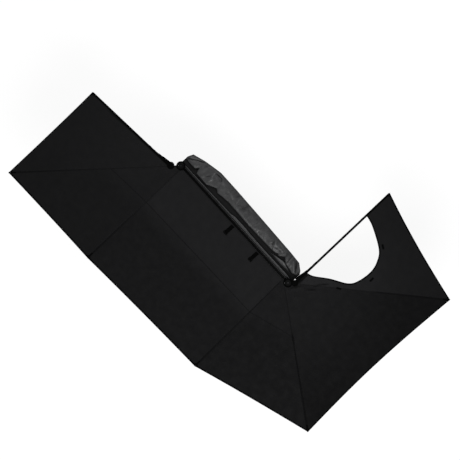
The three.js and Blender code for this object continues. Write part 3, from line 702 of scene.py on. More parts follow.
SLACK_SPAN = 0.4  # the width between two arms from which the cloth sags and waves in full
SAG_START = 0.7  # from the rail to where the side panel sags in full
WAVE_START = 0.3  # from the rail to where its waves stand at full height

# Distance along each arm from its hub to the seam across the panels
JOIN_AT = {FRONT_CORNER: 1.049, FRONT_SIDE: 0.752, REAR_SIDE: 0.716, REAR_CORNER: 0.812}

CANOPY_FINISHES = ("ripstop", "hem", "webbing", "join")
HEM, WEBBING, JOIN = 1, 2, 3


def rays(away, count, phase, height, reach, start, rise):
    """A height from the fine pulls round a point: they rise from the start and fade with the reach."""
    pull = math.sin(math.atan2(away.y, away.x) * count + phase) * height
    return pull * math.exp(-away.length / reach) * ease((away.length - start) / rise)


class Panel:
    """A canopy panel between two arms: its plan, its height and how it folds."""

    def __init__(self, key, first, second, scallop, tones, joint=None, seed=0, first_root=0.0):
        self.name, self.first, self.second, self.first_root = f"canopy_{key}", first, second, first_root
        self.scallop, self.tones, self.joint, self.seed = scallop, tones, joint, seed
        self.side_panel = joint is None
        self.caps = (first.pin, second.pin) if self.side_panel else (first.pin,)
        self.creases = ()

    def distances(self, point):
        """From a plan point to the middle lines of both arms."""
        first = self.first.lateral(point)
        return -first if self.side_panel else first, -self.second.lateral(point)

    def plan(self, across, along):
        root = CLOTH_ROOT if self.side_panel else 0.0
        a = self.first.at(mix(max(root, self.first_root), self.first.corner, along))
        b = self.second.at(mix(root, self.second.corner, along))
        point = a.lerp(b, across)
        bow = self.scallop * 4 * across * (1 - across) * along
        to_hub = self.first.pin - point
        if self.side_panel:
            point.y -= bow
        elif to_hub.length > 1e-6:
            point += to_hub.normalized() * bow
        return point

    def outer_width(self):
        return (self.plan(1, 1) - self.plan(0, 1)).length

    def join_line(self):
        """Both ends of the seam across the panel, or nothing where it has none."""
        ends = [arm.at(JOIN_AT[arm]) for arm in (self.first, self.second) if arm in JOIN_AT]
        return ends if len(ends) == 2 else None

    def clear_of_caps(self, point):
        """Moves a plan point out of the round holes the cloth leaves for the hub caps."""
        for pin in self.caps:
            off = point - pin
            if off.length < HUB_HOLE:
                point = pin + (off.normalized() * HUB_HOLE if off.length > 1e-6 else Vector((0, HUB_HOLE)))
        return point

    def pulls(self, point, open_share):
        """How far the pulls from the corners and the hub and the listed creases move the cloth."""
        pull = 0.0
        for arm in (self.first, self.second):
            pull += rays(
                point - arm.at(arm.corner), 22, self.seed, height=0.0016, reach=0.28, start=0.0, rise=0.06)
        pull += rays(
            point - self.first.pin, 17, self.seed * 2, height=0.0022, reach=0.35, start=0.08, rise=0.08)
        pull *= min(1.0, open_share * 2.5)
        for middle, heading, length, width, depth in self.creases:
            off = point - middle
            beside = abs(off.x * heading.y - off.y * heading.x)
            run = ease(1 - abs(off.dot(heading)) / length)
            pull -= depth * bell(beside / width) * run * min(1.0, open_share * 3)
        return pull

    def height(self, point):
        """How high the cloth lies: taut over both tubes, with sag, waves and pulls between them."""
        cloth = bpy.context.scene.awning_cloth
        da, db = self.distances(point)
        span = max(da + db, 1e-4)
        share = clip((da - CLEAR) / max(span - 2 * CLEAR, 1e-3)) if span > 2 * CLEAR else 0.5
        open_share = 4 * share * (1 - share)
        loose = open_share * clip((span - 2 * CLEAR) / SLACK_SPAN)
        sag, calm = cloth.sag * span * loose, 0.0
        if self.side_panel:
            from_rail = point.y - HUB_LINE - RAIL_FACE
            sag *= ease(from_rail / SAG_START)
            calm = 1 - ease(from_rail / WAVE_START)
        wave = ripple(point.x * 2.3, point.y * 2.3, self.seed) * 2.0
        wave += ripple(point.x * 6.1, point.y * 5.3, self.seed + 9) * 0.8
        wave *= cloth.wrinkle * loose * (1 - 0.7 * calm)
        base = mix(self.first.top, self.second.top, share) + cloth.lift
        return base - sag + wave + self.pulls(point, open_share)

    def on(self, point, rise=0.0):
        """The point of the cloth over a plan point, or a little above it."""
        return Vector((point.x, point.y, self.height(point) + rise))

    def fold_share(self, co):
        """How far a point turns with the second arm, so that the folded cloth lies between the tubes."""
        opening = math.radians(abs(max(joints[self.joint]["range_deg"], key=abs)))
        first, pin = self.first, self.second.pin
        off = Vector(co[:2]) - pin
        turn = math.atan2(off.dot(first.side), off.dot(first.direction))
        if turn < -math.pi / 2:
            turn += 2 * math.pi
        da, db = self.distances(co)
        if da < CLEAR:
            return 0.0
        if db < CLEAR:
            return 1.0
        pin_beside = first.lateral(pin)
        pleat = 0.0013 * math.sin(18 * math.pi * clip(da / max(da + db, 1e-4)))
        target = (pin_beside + self.second.offset) / 2 + pleat - pin_beside
        lean = math.asin(clip(target / max(off.length, 1e-4), -0.999, 0.999))
        return clip((turn - lean) / opening)


# Each panel: its arms, the inward bow of its outer edge, its tones at the hub and the edge (partly painted
# highlight), its joint, the seed of its waves, and how far along its first arm the cloth starts
PANELS = {
    "side": Panel("side", REAR_SIDE, FRONT_SIDE, 0.004, (1.20, 0.68), None, 3),
    "rear_corner": Panel(
        "rear_corner", REAR_SIDE, REAR_CORNER, 0.005, (0.86, 0.60), "rear_corner_fold", 11),
    "rear": Panel("rear", REAR_CORNER, TAIL, 0.044, (0.94, 0.40), "tail_fold", 17),
    "tailgate": Panel("tailgate", TAIL, TAILGATE, 0.024, (1.62, 0.86), "tailgate_fold", 23),
    "front_corner": Panel(
        "front_corner", FRONT_SIDE, FRONT_CORNER, 0.003, (0.97, 0.76), "front_corner_fold", 29),
    "front": Panel("front", FRONT_CORNER, WINDSCREEN, 0.003, (1.02, 0.80), "windscreen_fold", 37, 0.188),
}

# The tailgate panel's creases: middle, heading, half length, half width and depth
PULL_LINE = Vector((-0.476, -0.880)).normalized()
PANELS["tailgate"].creases = [
    (from_hub(u, v), PULL_LINE, length, 0.016, 0.007)
    for u, v, length in ((-0.115, -0.037, 0.085), (-0.290, -0.172, 0.045), (-0.371, -0.372, 0.075))]

# Painted shade of soft creases near the rear hub, each with a painted highlight on one shoulder: from, to,
# and half width, in metres ahead of and beside it
HUB_CREASE_SHADES = (
    ((-0.076, 0.050), (-0.167, -0.112), 0.017), ((-0.270, -0.140), (-0.359, -0.241), 0.015),
    ((-0.305, -0.249), (-0.346, -0.334), 0.014), ((-0.340, -0.325), (-0.430, -0.441), 0.014),
)
BLACK_BAND = 0.052  # half width of the black reinforcement over the tailgate arm's root
BLACK_BAND_END = 0.40
# half width of the dark band beside the windscreen arm: partly black reinforcement, partly painted shadow of
# the arm on the cloth
WINDSCREEN_BAND_AND_SHADOW = 0.030


def painted_crease_shade(point):
    """Painted shade of the hub creases: a darker line with a paler shoulder of painted highlight."""
    level = 1.0
    for start, end, width in HUB_CREASE_SHADES:
        a, b = from_hub(*start), from_hub(*end)
        run = clip((point - a).dot(b - a) / (b - a).length_squared)
        gap = point - a.lerp(b, run)
        away = gap.length * (1 if gap.x > 0 else -1)
        fade = math.sin(math.pi * (0.12 + 0.76 * run))
        level *= 1 - fade * (0.80 * bell(away / width) - 0.25 * bell((away + 1.9 * width) / width))
    return level


def panel_tone_and_highlight(panel, point):
    """The panel's tone: a paler inner band up to the seam across the panels, then darker outward; partly the
    cloth's own tone, partly a painted highlight where light falls brightest on the canopy's middle.
    """
    inner, outer = panel.tones
    line = panel.join_line()
    if not line:
        reach = (point - panel.first.pin).length / panel.first.corner
        return mix(inner, outer, ease((reach - 0.15) / 0.75))
    a, b = line
    run = (b - a).normalized()
    beside = Vector((run.y, -run.x))
    if (panel.first.pin - a).dot(beside) > 0:
        beside.negate()
    return mix(inner, outer, ease(((point - a).dot(beside) + 0.11) / 0.36))


def cloth_tone(panel, point):
    """The tone at a plan point: the black band at the tailgate arm's root, the black band beside the
    windscreen arm, partly painted shadow of that arm, and the painted shade of the creases near the hub.
    """
    level, black = panel_tone_and_highlight(panel, point), 0.1
    if panel.first is TAIL:
        band = ease((BLACK_BAND - abs(TAILGATE.lateral(point))) / 0.006)
        level *= mix(1.0, black, band * ease((BLACK_BAND_END - TAILGATE.along(point)) / 0.02))
    # dark band beside the windscreen arm, partly painted shadow of the arm
    if panel.second is WINDSCREEN:
        level *= mix(1.0, black, ease((WINDSCREEN_BAND_AND_SHADOW - abs(WINDSCREEN.lateral(point))) / 0.006))
    # painted shade of the creases near the hub
    if panel.first in (TAIL, REAR_CORNER):
        level *= painted_crease_shade(point)
    return level


def add_hem(bm, edge, length, steps, width, rise):
    """A double hem: a raised strip that follows an edge; edge(t, inward) gives its points."""

    def spot(a, b):
        return edge(b, width * a) + UP * rise * math.sin(math.pi * clip(0.08 + a * 0.9)) ** 0.5

    lay_grid(bm, 4, steps, spot, HEM, strip(length, width))


def add_corner_patch(bm, panel, at_second):
    """A three-cornered reinforcement in a panel's outer corner, raised above the cloth."""
    size, inset, rise = 0.06, 0.001, 0.0012
    reach, width = (panel.second if at_second else panel.first).corner, panel.outer_width()

    def spot(a, b):
        across = b * size / width * a
        along = 1 - b * size / reach * (1 - a) - inset
        return panel.on(panel.plan(clip(1 - across if at_second else across), clip(along)), rise)

    lay_grid(bm, 8, 8, spot, WEBBING, lambda a, b: (b * size, a * b * size))


def add_join(bm, panel):
    """The flat-felled seam that runs across a panel, parallel to the rail."""
    line = panel.join_line()
    if not line:
        return
    a, b = line
    width = bpy.context.scene.awning_cloth.join_width
    run, length = (b - a).normalized(), (b - a).length
    beside = Vector((-run.y, run.x))

    def spot(across, along):
        point = a.lerp(b, along) + beside * (across - 0.5) * width
        return panel.on(point, 0.0006 + 0.0007 * math.sin(math.pi * across))

    lay_grid(bm, 3, max(24, int(length / 0.03)), spot, JOIN, strip(length, width))


def add_cloth_panel(panel, across, along):
    """One whole panel: cloth, outer hem, corner patches and the seam across it."""
    bm = bmesh.new()
    lay_grid(bm, across, along, lambda a, b: panel.on(panel.clear_of_caps(panel.plan(a, b))))

    def outer(t, inward):
        return panel.on(panel.plan(t, 1 - inward / panel.first.corner))

    add_hem(bm, outer, panel.outer_width(), across, bpy.context.scene.awning_cloth.hem_width, 0.0015)
    for at_second in (False, True):
        add_corner_patch(bm, panel, at_second)
    add_join(bm, panel)
    face_up(bm)
    paint(bm, lambda co: cloth_tone(panel, co.xy))
    return bm


def dress_fan(panel, bm):
    """Finishes a fan panel: it takes the CAD sheet's place; how far each point would turn with the second arm
    is worked out but not used.
    """
    first, second = panel.first, panel.second
    thickness = bpy.context.scene.awning_cloth.thickness
    piece = finish_piece(panel.name, bm, CANOPY_FINISHES, thickness=thickness)
    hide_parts(f"{panel.name}_panel")
    start, end = (*first.at(1.0), first.top), (*second.at(1.0), second.top)
    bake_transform(piece)
    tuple(start)
    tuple(end)
    shares = [panel.fold_share(v.co) for v in piece.data.vertices]


class AWNING_OT_side_panel(bpy.types.Operator):
    """Stretch the long side panel between the hubs"""

    bl_idname = "awning.side_panel"
    bl_label = "Stretch Side Panel"

    def execute(self, context):
        thickness = context.scene.awning_cloth.thickness
        panel = PANELS["side"]
        bm = add_cloth_panel(panel, 84, 60)
        piece = finish_piece(panel.name, bm, CANOPY_FINISHES, "root", thickness)
        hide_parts("canopy_side_panel")
        flat = sheet_size(piece)
        arms, area = ["rear_side_arm", "front_side_arm"], sheet_area(piece, flat)
        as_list(arms)
        gather(piece)
        self.add_root_band(panel, thickness)
        return {"FINISHED"}

    def add_root_band(self, panel, thickness):
        """The cloth's root: it comes up from the rail's top to the panel's inner edge."""
        low, high, width = REAR_PIN.x + 0.070, FRONT_PIN.x - 0.070, 0.09
        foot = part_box("base_rail")[1][2] + 0.0012
        edge = HUB_LINE + CLOTH_ROOT + 0.0006

        def spot(a, b):
            x = mix(low, high, b)
            wave = 0.0022 * math.sin(math.pi * a) * ripple(x * 9, a * 2, 4.0)
            top = panel.height(Vector((x, edge)))
            return Vector((x, mix(HUB_LINE + 0.019, edge, ease(a)) + wave, mix(foot, top, a)))

        bm = bmesh.new()
        lay_grid(bm, 10, 150, spot, uv=strip(high - low, width))
        paint(bm, lambda co: 0.5)
        piece = finish_piece("canopy_root_band", bm, ["ripstop"], "root", thickness)
        gather(piece)


class AWNING_OT_fan_panels(bpy.types.Operator):
    """Stretch the fan panels between the arms of each hub"""

    bl_idname = "awning.fan_panels"
    bl_label = "Stretch Fan Panels"

    def execute(self, context):
        faces = {"rear_corner": (48, 60), "rear": (72, 64), "front_corner": (48, 66), "front": (48, 60)}
        for key, (across, along) in faces.items():
            dress_fan(PANELS[key], add_cloth_panel(PANELS[key], across, along))
        return {"FINISHED"}


# The opening over the tailgate: distance along the arm from its pivot, and depth into the panel
CUTOUT = (
    (0.200, 0.0), (0.240, 0.112), (0.390, 0.310), (0.540, 0.550), (0.680, 0.632),
    (0.900, 0.662), (1.075, 0.620), (1.235, 0.500), (1.400, 0.186), (1.450, 0.0),
)
CUTOUT_NEAR, CUTOUT_FAR = CUTOUT[0][0], CUTOUT[-1][0]
CUTOUT_MIDDLE, CUTOUT_DEPTH = 0.825, 0.662


class AWNING_OT_tailgate_panel(bpy.types.Operator):
    """Stretch the tailgate panel round its rounded opening, with binding and three toggle tabs"""

    bl_idname = "awning.tailgate_panel"
    bl_label = "Stretch Tailgate Panel"

    def execute(self, context):
        panel = PANELS["tailgate"]
        curve = (curve_at(CUTOUT, i / 400) for i in range(401))
        cut_line = [TAILGATE.at(along, -max(deep, 0.0)) for along, deep in curve]
        outer_line = [panel.plan(i / 40, 1) for i in range(41)]
        middle = TAILGATE.at(CUTOUT_MIDDLE, -CUTOUT_DEPTH * 0.35)
        bm = bmesh.new()
        self.add_cloth(bm, panel, cut_line, outer_line)
        self.add_hems(bm, panel, cut_line, outer_line, middle)
        for at_second in (False, True):
            add_corner_patch(bm, panel, at_second)
        face_up(bm, WEBBING)
        for u, v in ((-0.579, -0.508), (-0.815, -0.962), (-0.567, -1.421)):
            self.add_tab(bm, panel, from_hub(u, v), middle)
        paint(bm, lambda co: cloth_tone(panel, co.xy))
        dress_fan(panel, bm)
        return {"FINISHED"}

    def add_cloth(self, bm, panel, cut_line, outer_line):
        """The sheet between the opening's rim and a path round the rest, whose runs share its columns."""
        columns, rows = 150, 44
        near, pivot, far = (TAILGATE.at(d) for d in (CUTOUT_NEAR, 0.0, CUTOUT_FAR))
        root, corner = TAIL.at(0.055), TAIL.at(TAIL.corner)
        runs = (
            ([near, pivot], 0.07), ([pivot, root], 0.03), ([root, corner], 0.46), (outer_line, 0.35),
            ([TAILGATE.at(TAILGATE.corner), far], 0.09),
        )
        inner, outer, done = even_path(cut_line, columns), [near], 0.0
        for path, share in runs:
            done += share
            outer += even_path(path, int(round(done * columns)) - (len(outer) - 1))[1:]

        def spot(a, b):
            index = step_of(inner, a)
            return panel.on(panel.clear_of_caps(inner[index].lerp(outer[index], b ** 1.15)))

        verts = lay_grid(bm, columns, rows, spot)[0]
        bmesh.ops.remove_doubles(bm, verts=verts, dist=1e-5)

    def add_hems(self, bm, panel, cut_line, outer_line, middle):
        """The outer hem, and the opening's binding with a piping inside it."""
        edge_path, rim = even_path(outer_line, 72), even_path(cut_line, 120)

        def outer_edge(t, inward):
            point = edge_path[step_of(edge_path, t)]
            return panel.on(point + (panel.first.pin - point).normalized() * inward)

        def cut_edge(t, outward):
            point = rim[step_of(rim, t)]
            return panel.on(point + (point - middle).normalized() * outward)

        add_hem(bm, outer_edge, 2.9, 72, bpy.context.scene.awning_cloth.hem_width, 0.0015)
        add_hem(bm, cut_edge, 2.6, 120, 0.020, 0.0016)
        lay_pipe(bm, [cut_edge(i / 120, -0.001) for i in range(121)], 0.0028, WEBBING)

    def add_tab(self, bm, panel, point, middle):
        """A short webbing tab with a toggle under it, sewn beside the opening."""
        out = (point - middle).normalized()
        run = Vector((-out.y, out.x))
        ground = panel.height(point)
        side = ((0.038, 0.0016), (0.030, 0.0018), (0.018, 0.0040))
        profile = [(-e, h) for e, h in side] + [(0.0, 0.0062)] + list(reversed(side))
        path = [Vector((*(point + run * e), ground + h)) for e, h in profile]
        lay_band(bm, path, Vector((*out, 0)), 0.027, 0.0014, WEBBING)


# Seams, sleeves and loops on the arms

# How dark each seam looks, from its black tape and from painted shade where the cloth folds beside the arm:
# distance along the arm, and share from the cloth's tone to black
SEAM_TONES = {
    REAR_SIDE: ((0.0, 0.45), (0.9, 0.6), (1.9, 0.95)),
    REAR_CORNER: (
        (0.0, 0.35), (0.72, 0.5), (0.78, 0.7), (0.80, 2.3), (0.87, 1.9), (0.96, 0.9), (1.3, 1.2), (2.3, 1.5)),
    TAIL: ((0.0, 0.03), (1.25, 0.08), (1.38, 0.85), (2.5, 1.0)),
    FRONT_SIDE: ((0.0, 0.05), (0.95, 0.10), (1.15, 0.6), (1.95, 0.95)),
    FRONT_CORNER: ((0.0, 0.15), (0.9, 0.35), (2.6, 0.95)),
}


class AWNING_OT_arm_seams(bpy.types.Operator):
    """Sew the tape over each inner arm, and the sleeves on the two end arms"""

    bl_idname = "awning.arm_seams"
    bl_label = "Sew Arm Seams"

    def execute(self, context):
        for arm in ARMS:
            bm = bmesh.new()
            if arm in SEAM_TONES:
                self.add_tape(bm, arm, 0.062, arm.corner - 0.004, context.scene.awning_cloth)
            else:
                self.add_sleeve(bm, arm, 0.044, arm.corner - 0.012)
            piece = finish_piece(f"{arm.name}_seam", bm, ["seam", "webbing"], arm.body)
            soften(piece, 0.0005)
        return {"FINISHED"}

    def add_tape(self, bm, arm, start, end, cloth):
        """A slightly crowned tape that is wider where it is darker with the painted shade of the folds beside
        the arm.
        """
        length, phase = end - start, arm.offset * 40

        def spot(a, b):
            along = mix(start, end, b)
            wander = 0.0012 * ripple(along * 5, 3.0, phase)
            width = cloth.seam_width * (0.8 + 0.8 * value_at(SEAM_TONES[arm], along))
            crown = 0.0009 * (1 - (2 * a - 1) ** 4) + 0.0004 * ripple(along * 14, a * 2, phase)
            return arm.spot(along, arm.top + cloth.lift + 0.0009 + crown, (a - 0.5) * width + wander)

        steps = max(12, int(length / 0.03))
        faces = lay_grid(bm, 6, steps, spot, uv=strip(length, cloth.seam_width))[1]
        face_up(bm)
        bmesh.ops.solidify(bm, geom=faces, thickness=0.0011)
        # the tone along the seam holds the painted shade of the cloth's folds beside the arm
        paint(bm, lambda co: value_at(SEAM_TONES[arm], arm.along(co)))

    def add_sleeve(self, bm, arm, start, end):
        """A black cloth sleeve round an end arm's top and sides, gathered a little between its stitches."""
        length, half, low, high = end - start, 0.0155, arm.bottom + 0.006, arm.top + 0.0030
        corners = ((-half, low), (-half, high), (half, high), (half, low))
        profile = rounded_path([Vector((s, 0, z)) for s, z in corners], 0.005, 4)

        def spot(a, b):
            along = mix(start, end, b)
            at = profile[step_of(profile, a)]
            slack = 0.0007 * ripple(along * 22, a * 3, 5.0)
            rise = abs(slack) if at.z > low + 0.01 else 0.0
            return arm.spot(along, at.z + rise, at.x + math.copysign(slack, at.x))

        mapped = strip(length, run_lengths(profile)[-1])
        faces = lay_grid(bm, len(profile) - 1, int(length / 0.02), spot, 1, mapped)[1]
        bmesh.ops.solidify(bm, geom=faces, thickness=0.0009)


class AWNING_OT_arm_loops(bpy.types.Operator):
    """Wrap the webbing loops that hold the cloth down round the arm tubes"""

    bl_idname = "awning.arm_loops"
    bl_label = "Wrap Arm Loops"

    def execute(self, context):
        count = 4
        for arm in ARMS:
            bm = bmesh.new()
            places = [mix(0.32, arm.end - 0.10, step / (count - 1)) for step in range(count)]
            if arm is TAILGATE:
                places += [CUTOUT_NEAR + 0.045 + beside for beside in (-0.014, 0.014)]
            for along in places:
                self.add_loop(bm, arm, along)
            finish_piece(f"{arm.name}_loops", bm, ["webbing", "nylon"], arm.body)
        return {"FINISHED"}

    def add_loop(self, bm, arm, along):
        """A closed loop of webbing round the tube, with a flap sewn down one side."""
        half, gap, width = TUBE_HALF + 0.0008, 0.0009, 0.025
        low, high = arm.bottom - gap, arm.top + gap
        corners = ((0.006, high), (half, high), (half, low), (-half, low), (-half, high), (0.004, high))
        path = rounded_path([arm.spot(along, z, s) for s, z in corners], 0.003, 3)
        lay_band(bm, path, arm.ahead, width, 0.0008)
        heights = (mix(high - 0.004, low + 0.006, t / 5) for t in range(6))
        flap = [arm.spot(along, z, half + 0.0012) for z in heights]
        lay_band(bm, flap, arm.ahead, width - 0.002, 0.0009)


COLLAR_INNER, COLLAR_OUTER = 0.047, 0.070
# Each pivot cover: its arm, its middle along and beside that arm, and its radius
PIVOT_COVERS = ((TAIL, 0.104, 0.006, 0.050), (FRONT_CORNER, 0.152, 0.012, 0.056))
WRAP_START, WRAP_END = 0.012, 0.42
WRAP_ROOT, WRAP_TIP, WRAP_EDGE = 0.046, 0.015, -0.0125  # its reach to the open side, and its cloth side


class AWNING_OT_hub_covers(bpy.types.Operator):
    """Cover the cloth's roots with collars at the hub caps, caps on the pivots and wraps on the end arms"""

    bl_idname = "awning.hub_covers"
    bl_label = "Cover Hub Roots"

    def execute(self, context):
        lift = context.scene.awning_cloth.lift
        for name, arm in (("rear_hub_collar", REAR_SIDE), ("front_hub_collar", FRONT_SIDE)):
            middle = Vector((*arm.pin, arm.top + lift + 0.0034))
            self.add_disc(name, middle, COLLAR_INNER, COLLAR_OUTER, "root")
        for arm, along, sideways, radius in PIVOT_COVERS:
            middle = arm.spot(along, arm.top + lift + 0.0062, sideways)
            self.add_disc(f"{arm.body}_pivot_cover", middle, 0.001, radius, arm.body)
        self.add_wrap(TAILGATE, "tailgate_fold", lift)
        self.add_wrap(WINDSCREEN, "windscreen_fold", lift)
        return {"FINISHED"}

    def add_disc(self, name, middle, inner, outer, body):
        """A sewn disc with a bound rim that turns down, and two rings of stitches."""
        bm = bmesh.new()
        steps = 72

        def spot(a, b):
            turn = 2 * math.pi * b
            x, y = math.cos(turn), math.sin(turn)
            radius = mix(inner, outer, a) * (1 + 0.02 * ripple(x, y, outer * 50))
            drop = 0.0012 * a + 0.0015 * ease((a - 0.9) / 0.1)
            rise = 0.0005 * ripple(radius * 60, turn, 1.0) - drop
            return middle + Vector((x * radius, y * radius, rise))

        lay_grid(bm, 10, steps, spot, uv=lambda a, b: (b * 2 * math.pi * outer, mix(inner, outer, a)))
        bmesh.ops.remove_doubles(bm, verts=bm.verts, dist=0.00005)
        for share in (0.78, 0.93):
            lay_stitches(bm, lambda t: spot(share, t) + UP * 0.0008, steps)
        finish_piece(name, bm, ["webbing"], body, 0.0014)

    def add_wrap(self, arm, joint, lift):
        """A padded wrap over an end arm's root, wider on the side away from the cloth."""
        bm = bmesh.new()
        top, low, steps = arm.top + lift + 0.0030, arm.bottom + 0.004, 80

        def spot(a, b):
            along = mix(WRAP_START, WRAP_END, b)
            wide = mix(WRAP_ROOT, WRAP_TIP, ease(along / 0.30)) + 0.0012 * math.sin(along * 70)
            over = clip(a / 0.8)
            beside = mix(WRAP_EDGE, wide, over) + 0.0015 * ease((a - 0.8) / 0.2)
            drop = (top - low) * ease((a - 0.78) / 0.22) + 0.002 * ease((0.06 - a) / 0.06)
            return arm.spot(along, top + 0.0012 * math.sin(math.pi * over) - drop, beside)

        lay_grid(bm, 14, steps, spot, uv=strip(WRAP_END, 0.09))
        for share in (0.12, 0.70):
            lay_stitches(bm, lambda t: spot(share, t) + UP * 0.0010, steps)
        piece = finish_piece(f"{arm.name}_root_wrap", bm, ["webbing"], arm.body, 0.0016)
        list(arm.side)
        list(arm.at(0.0))
        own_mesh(piece)


class AWNING_OT_corner_tabs(bpy.types.Operator):
    """Sew a webbing tab from each canopy corner down round the knob in the arm's tip"""

    bl_idname = "awning.corner_tabs"
    bl_label = "Sew Corner Tabs"

    def execute(self, context):
        for arm in ARMS:
            bm = bmesh.new()
            top = arm.top + context.scene.awning_cloth.lift + 0.0032
            middle = (arm.top + arm.bottom) / 2
            shape = (
                (arm.end - 0.075, top), (arm.end - 0.02, top + 0.0002), (arm.end + 0.018, top),
                (arm.corner - 0.004, top - 0.004), (arm.corner + 0.001, middle + 0.012),
                (arm.corner + 0.001, middle - 0.010), (arm.corner - 0.008, middle - 0.0135),
                (arm.end + 0.012, middle - 0.0125),
            )
            path = rounded_path([arm.spot(along, z) for along, z in shape], 0.008, 4)
            lay_band(bm, path, arm.beside, 0.020, 0.0018)
            self.add_ring(bm, arm, middle)
            finish_piece(f"{arm.name}_corner_tab", bm, ["webbing", "steel"], arm.body)
        return {"FINISHED"}

    def add_ring(self, bm, arm, height):
        """A small steel ring below the tab for a guy line."""
        middle = arm.spot(arm.corner + 0.005, height)
        radius, wire = 0.0095, 0.0014

        def spot(a, b):
            turn, roll = 2 * math.pi * b, 2 * math.pi * a
            spoke = arm.ahead * math.cos(turn) + UP * math.sin(turn)
            return middle + spoke * (radius + wire * math.cos(roll)) + arm.beside * wire * math.sin(roll)

        verts = lay_grid(bm, 8, 18, spot, 1)[0]
        bmesh.ops.remove_doubles(bm, verts=verts, dist=1e-5)
        faces = {f for v in verts if v.is_valid for f in v.link_faces}
        bmesh.ops.recalc_face_normals(bm, faces=list(faces))


# Straps

STRAP_WIDTH, STRAP_THICK = 0.060, 0.0016


class AWNING_OT_straps(bpy.types.Operator):
    """Lay the two packing straps over the side panel, each with its buckle"""

    bl_idname = "awning.straps"
    bl_label = "Lay Straps"

    def execute(self, context):
        for name in ("strap_rear", "strap_front"):
            low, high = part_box(name)
            bm = bmesh.new()
            self.add_strap(bm, (low[0] + high[0]) / 2, HUB_LINE + RAIL_FACE + 0.002, high[1] + 0.022)
            piece = finish_piece(f"{name}_webbing", bm, ["webbing", "nylon"], "root")
            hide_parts(name)
            gather(piece)
        return {"FINISHED"}

    def add_strap(self, bm, x, edge, end):
        """One strap: up the rail's side, out over the cloth, and back over itself through a buckle."""
        rail_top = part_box("base_rail")[1][2]

        def over(y, extra=0.0):
            return PANELS["side"].height(Vector((x, y))) + 0.0024 + extra

        rail_side = (
            (HUB_LINE + 0.004, rail_top + 0.0016), (edge - 0.0045, rail_top + 0.0022),
            (edge - 0.0042, over(edge) - 0.003), (edge + 0.012, over(edge + 0.012)),
        )
        path = rounded_path([Vector((x, y, z)) for y, z in rail_side], 0.006, 4)
        steps = 12
        outward = [mix(edge + 0.02, end - 0.002, i / steps) for i in range(steps + 1)]
        shape = [(y, over(y, 0.0006 * math.sin(y * 90))) for y in outward]
        shape += [(end + 0.0005, over(end, 0.0022)), (end - 0.003, over(end, 0.0042))]
        shape += [(end - 0.02, over(end - 0.02, 0.0040)), (end - 0.036, over(end - 0.036, 0.0036))]
        path += [Vector((x, y, z)) for y, z in shape]
        lay_band(bm, path, Vector((1, 0, 0)), STRAP_WIDTH, STRAP_THICK, 0, 6)
        self.add_buckle(bm, Vector((x, end - 0.024, over(end - 0.024, 0.006))))
        for sewn in (0.030, 0.075):
            self.add_box_stitch(bm, x, edge + sewn, over)

    def add_buckle(self, bm, foot):
        """A ladder-lock buckle: a moulded frame with a middle bar."""
        half_x, half_y, bar, half_bar, thick = 0.036, 0.019, 0.006, 0.0025, 0.0055
        bars = (
            (-half_x, -half_y, half_x, -half_y + bar), (-half_x, half_y - bar, half_x, half_y),
            (-half_x, -half_bar, half_x, half_bar), (-half_x, -half_y, -half_x + bar, half_y),
            (half_x - bar, -half_y, half_x, half_y),
        )
        for x0, y0, x1, y1 in bars:
            add_block(bm, foot + Vector((x0, y0, 0)), foot + Vector((x1, y1, thick)), 0.0014, 1)

    def add_box_stitch(self, bm, x, y, over):
        """A raised square of sewing with one diagonal, which holds a strap down."""
        near, far = -0.012, 0.012
        left, right = -0.014, 0.014
        lines = (
            (left, near, right, near), (left, far, right, far), (left, near, left, far),
            (right, near, right, far), (left, near, right, far),
        )
        for x0, y0, x1, y1 in lines:

            def spot(t):
                across, along = x + mix(x0, x1, t), y + mix(y0, y1, t)
                return Vector((across, along, over(along) + 0.0018))

            lay_stitches(bm, spot, 6)


def add_block(bm, low, high, round_edge, material):
    """A block between two corners with rounded edges."""
    size = high - low
    made = bmesh.ops.create_cube(bm, size=1.0)
    bmesh.ops.scale(bm, vec=size, verts=made["verts"])
    bmesh.ops.translate(bm, vec=(low + high) / 2, verts=made["verts"])
    edges = list({e for v in made["verts"] for e in v.link_edges})
    offset = min(round_edge, min(size) * 0.45)
    cut = bmesh.ops.bevel(
        bm, geom=edges, offset=offset, segments=2, profile=0.5, affect="EDGES", material=-1)
    for face in {f for v in made["verts"] if v.is_valid for f in v.link_faces} | set(cut["faces"]):
        face.material_index = material
        face.smooth = True


# Cover

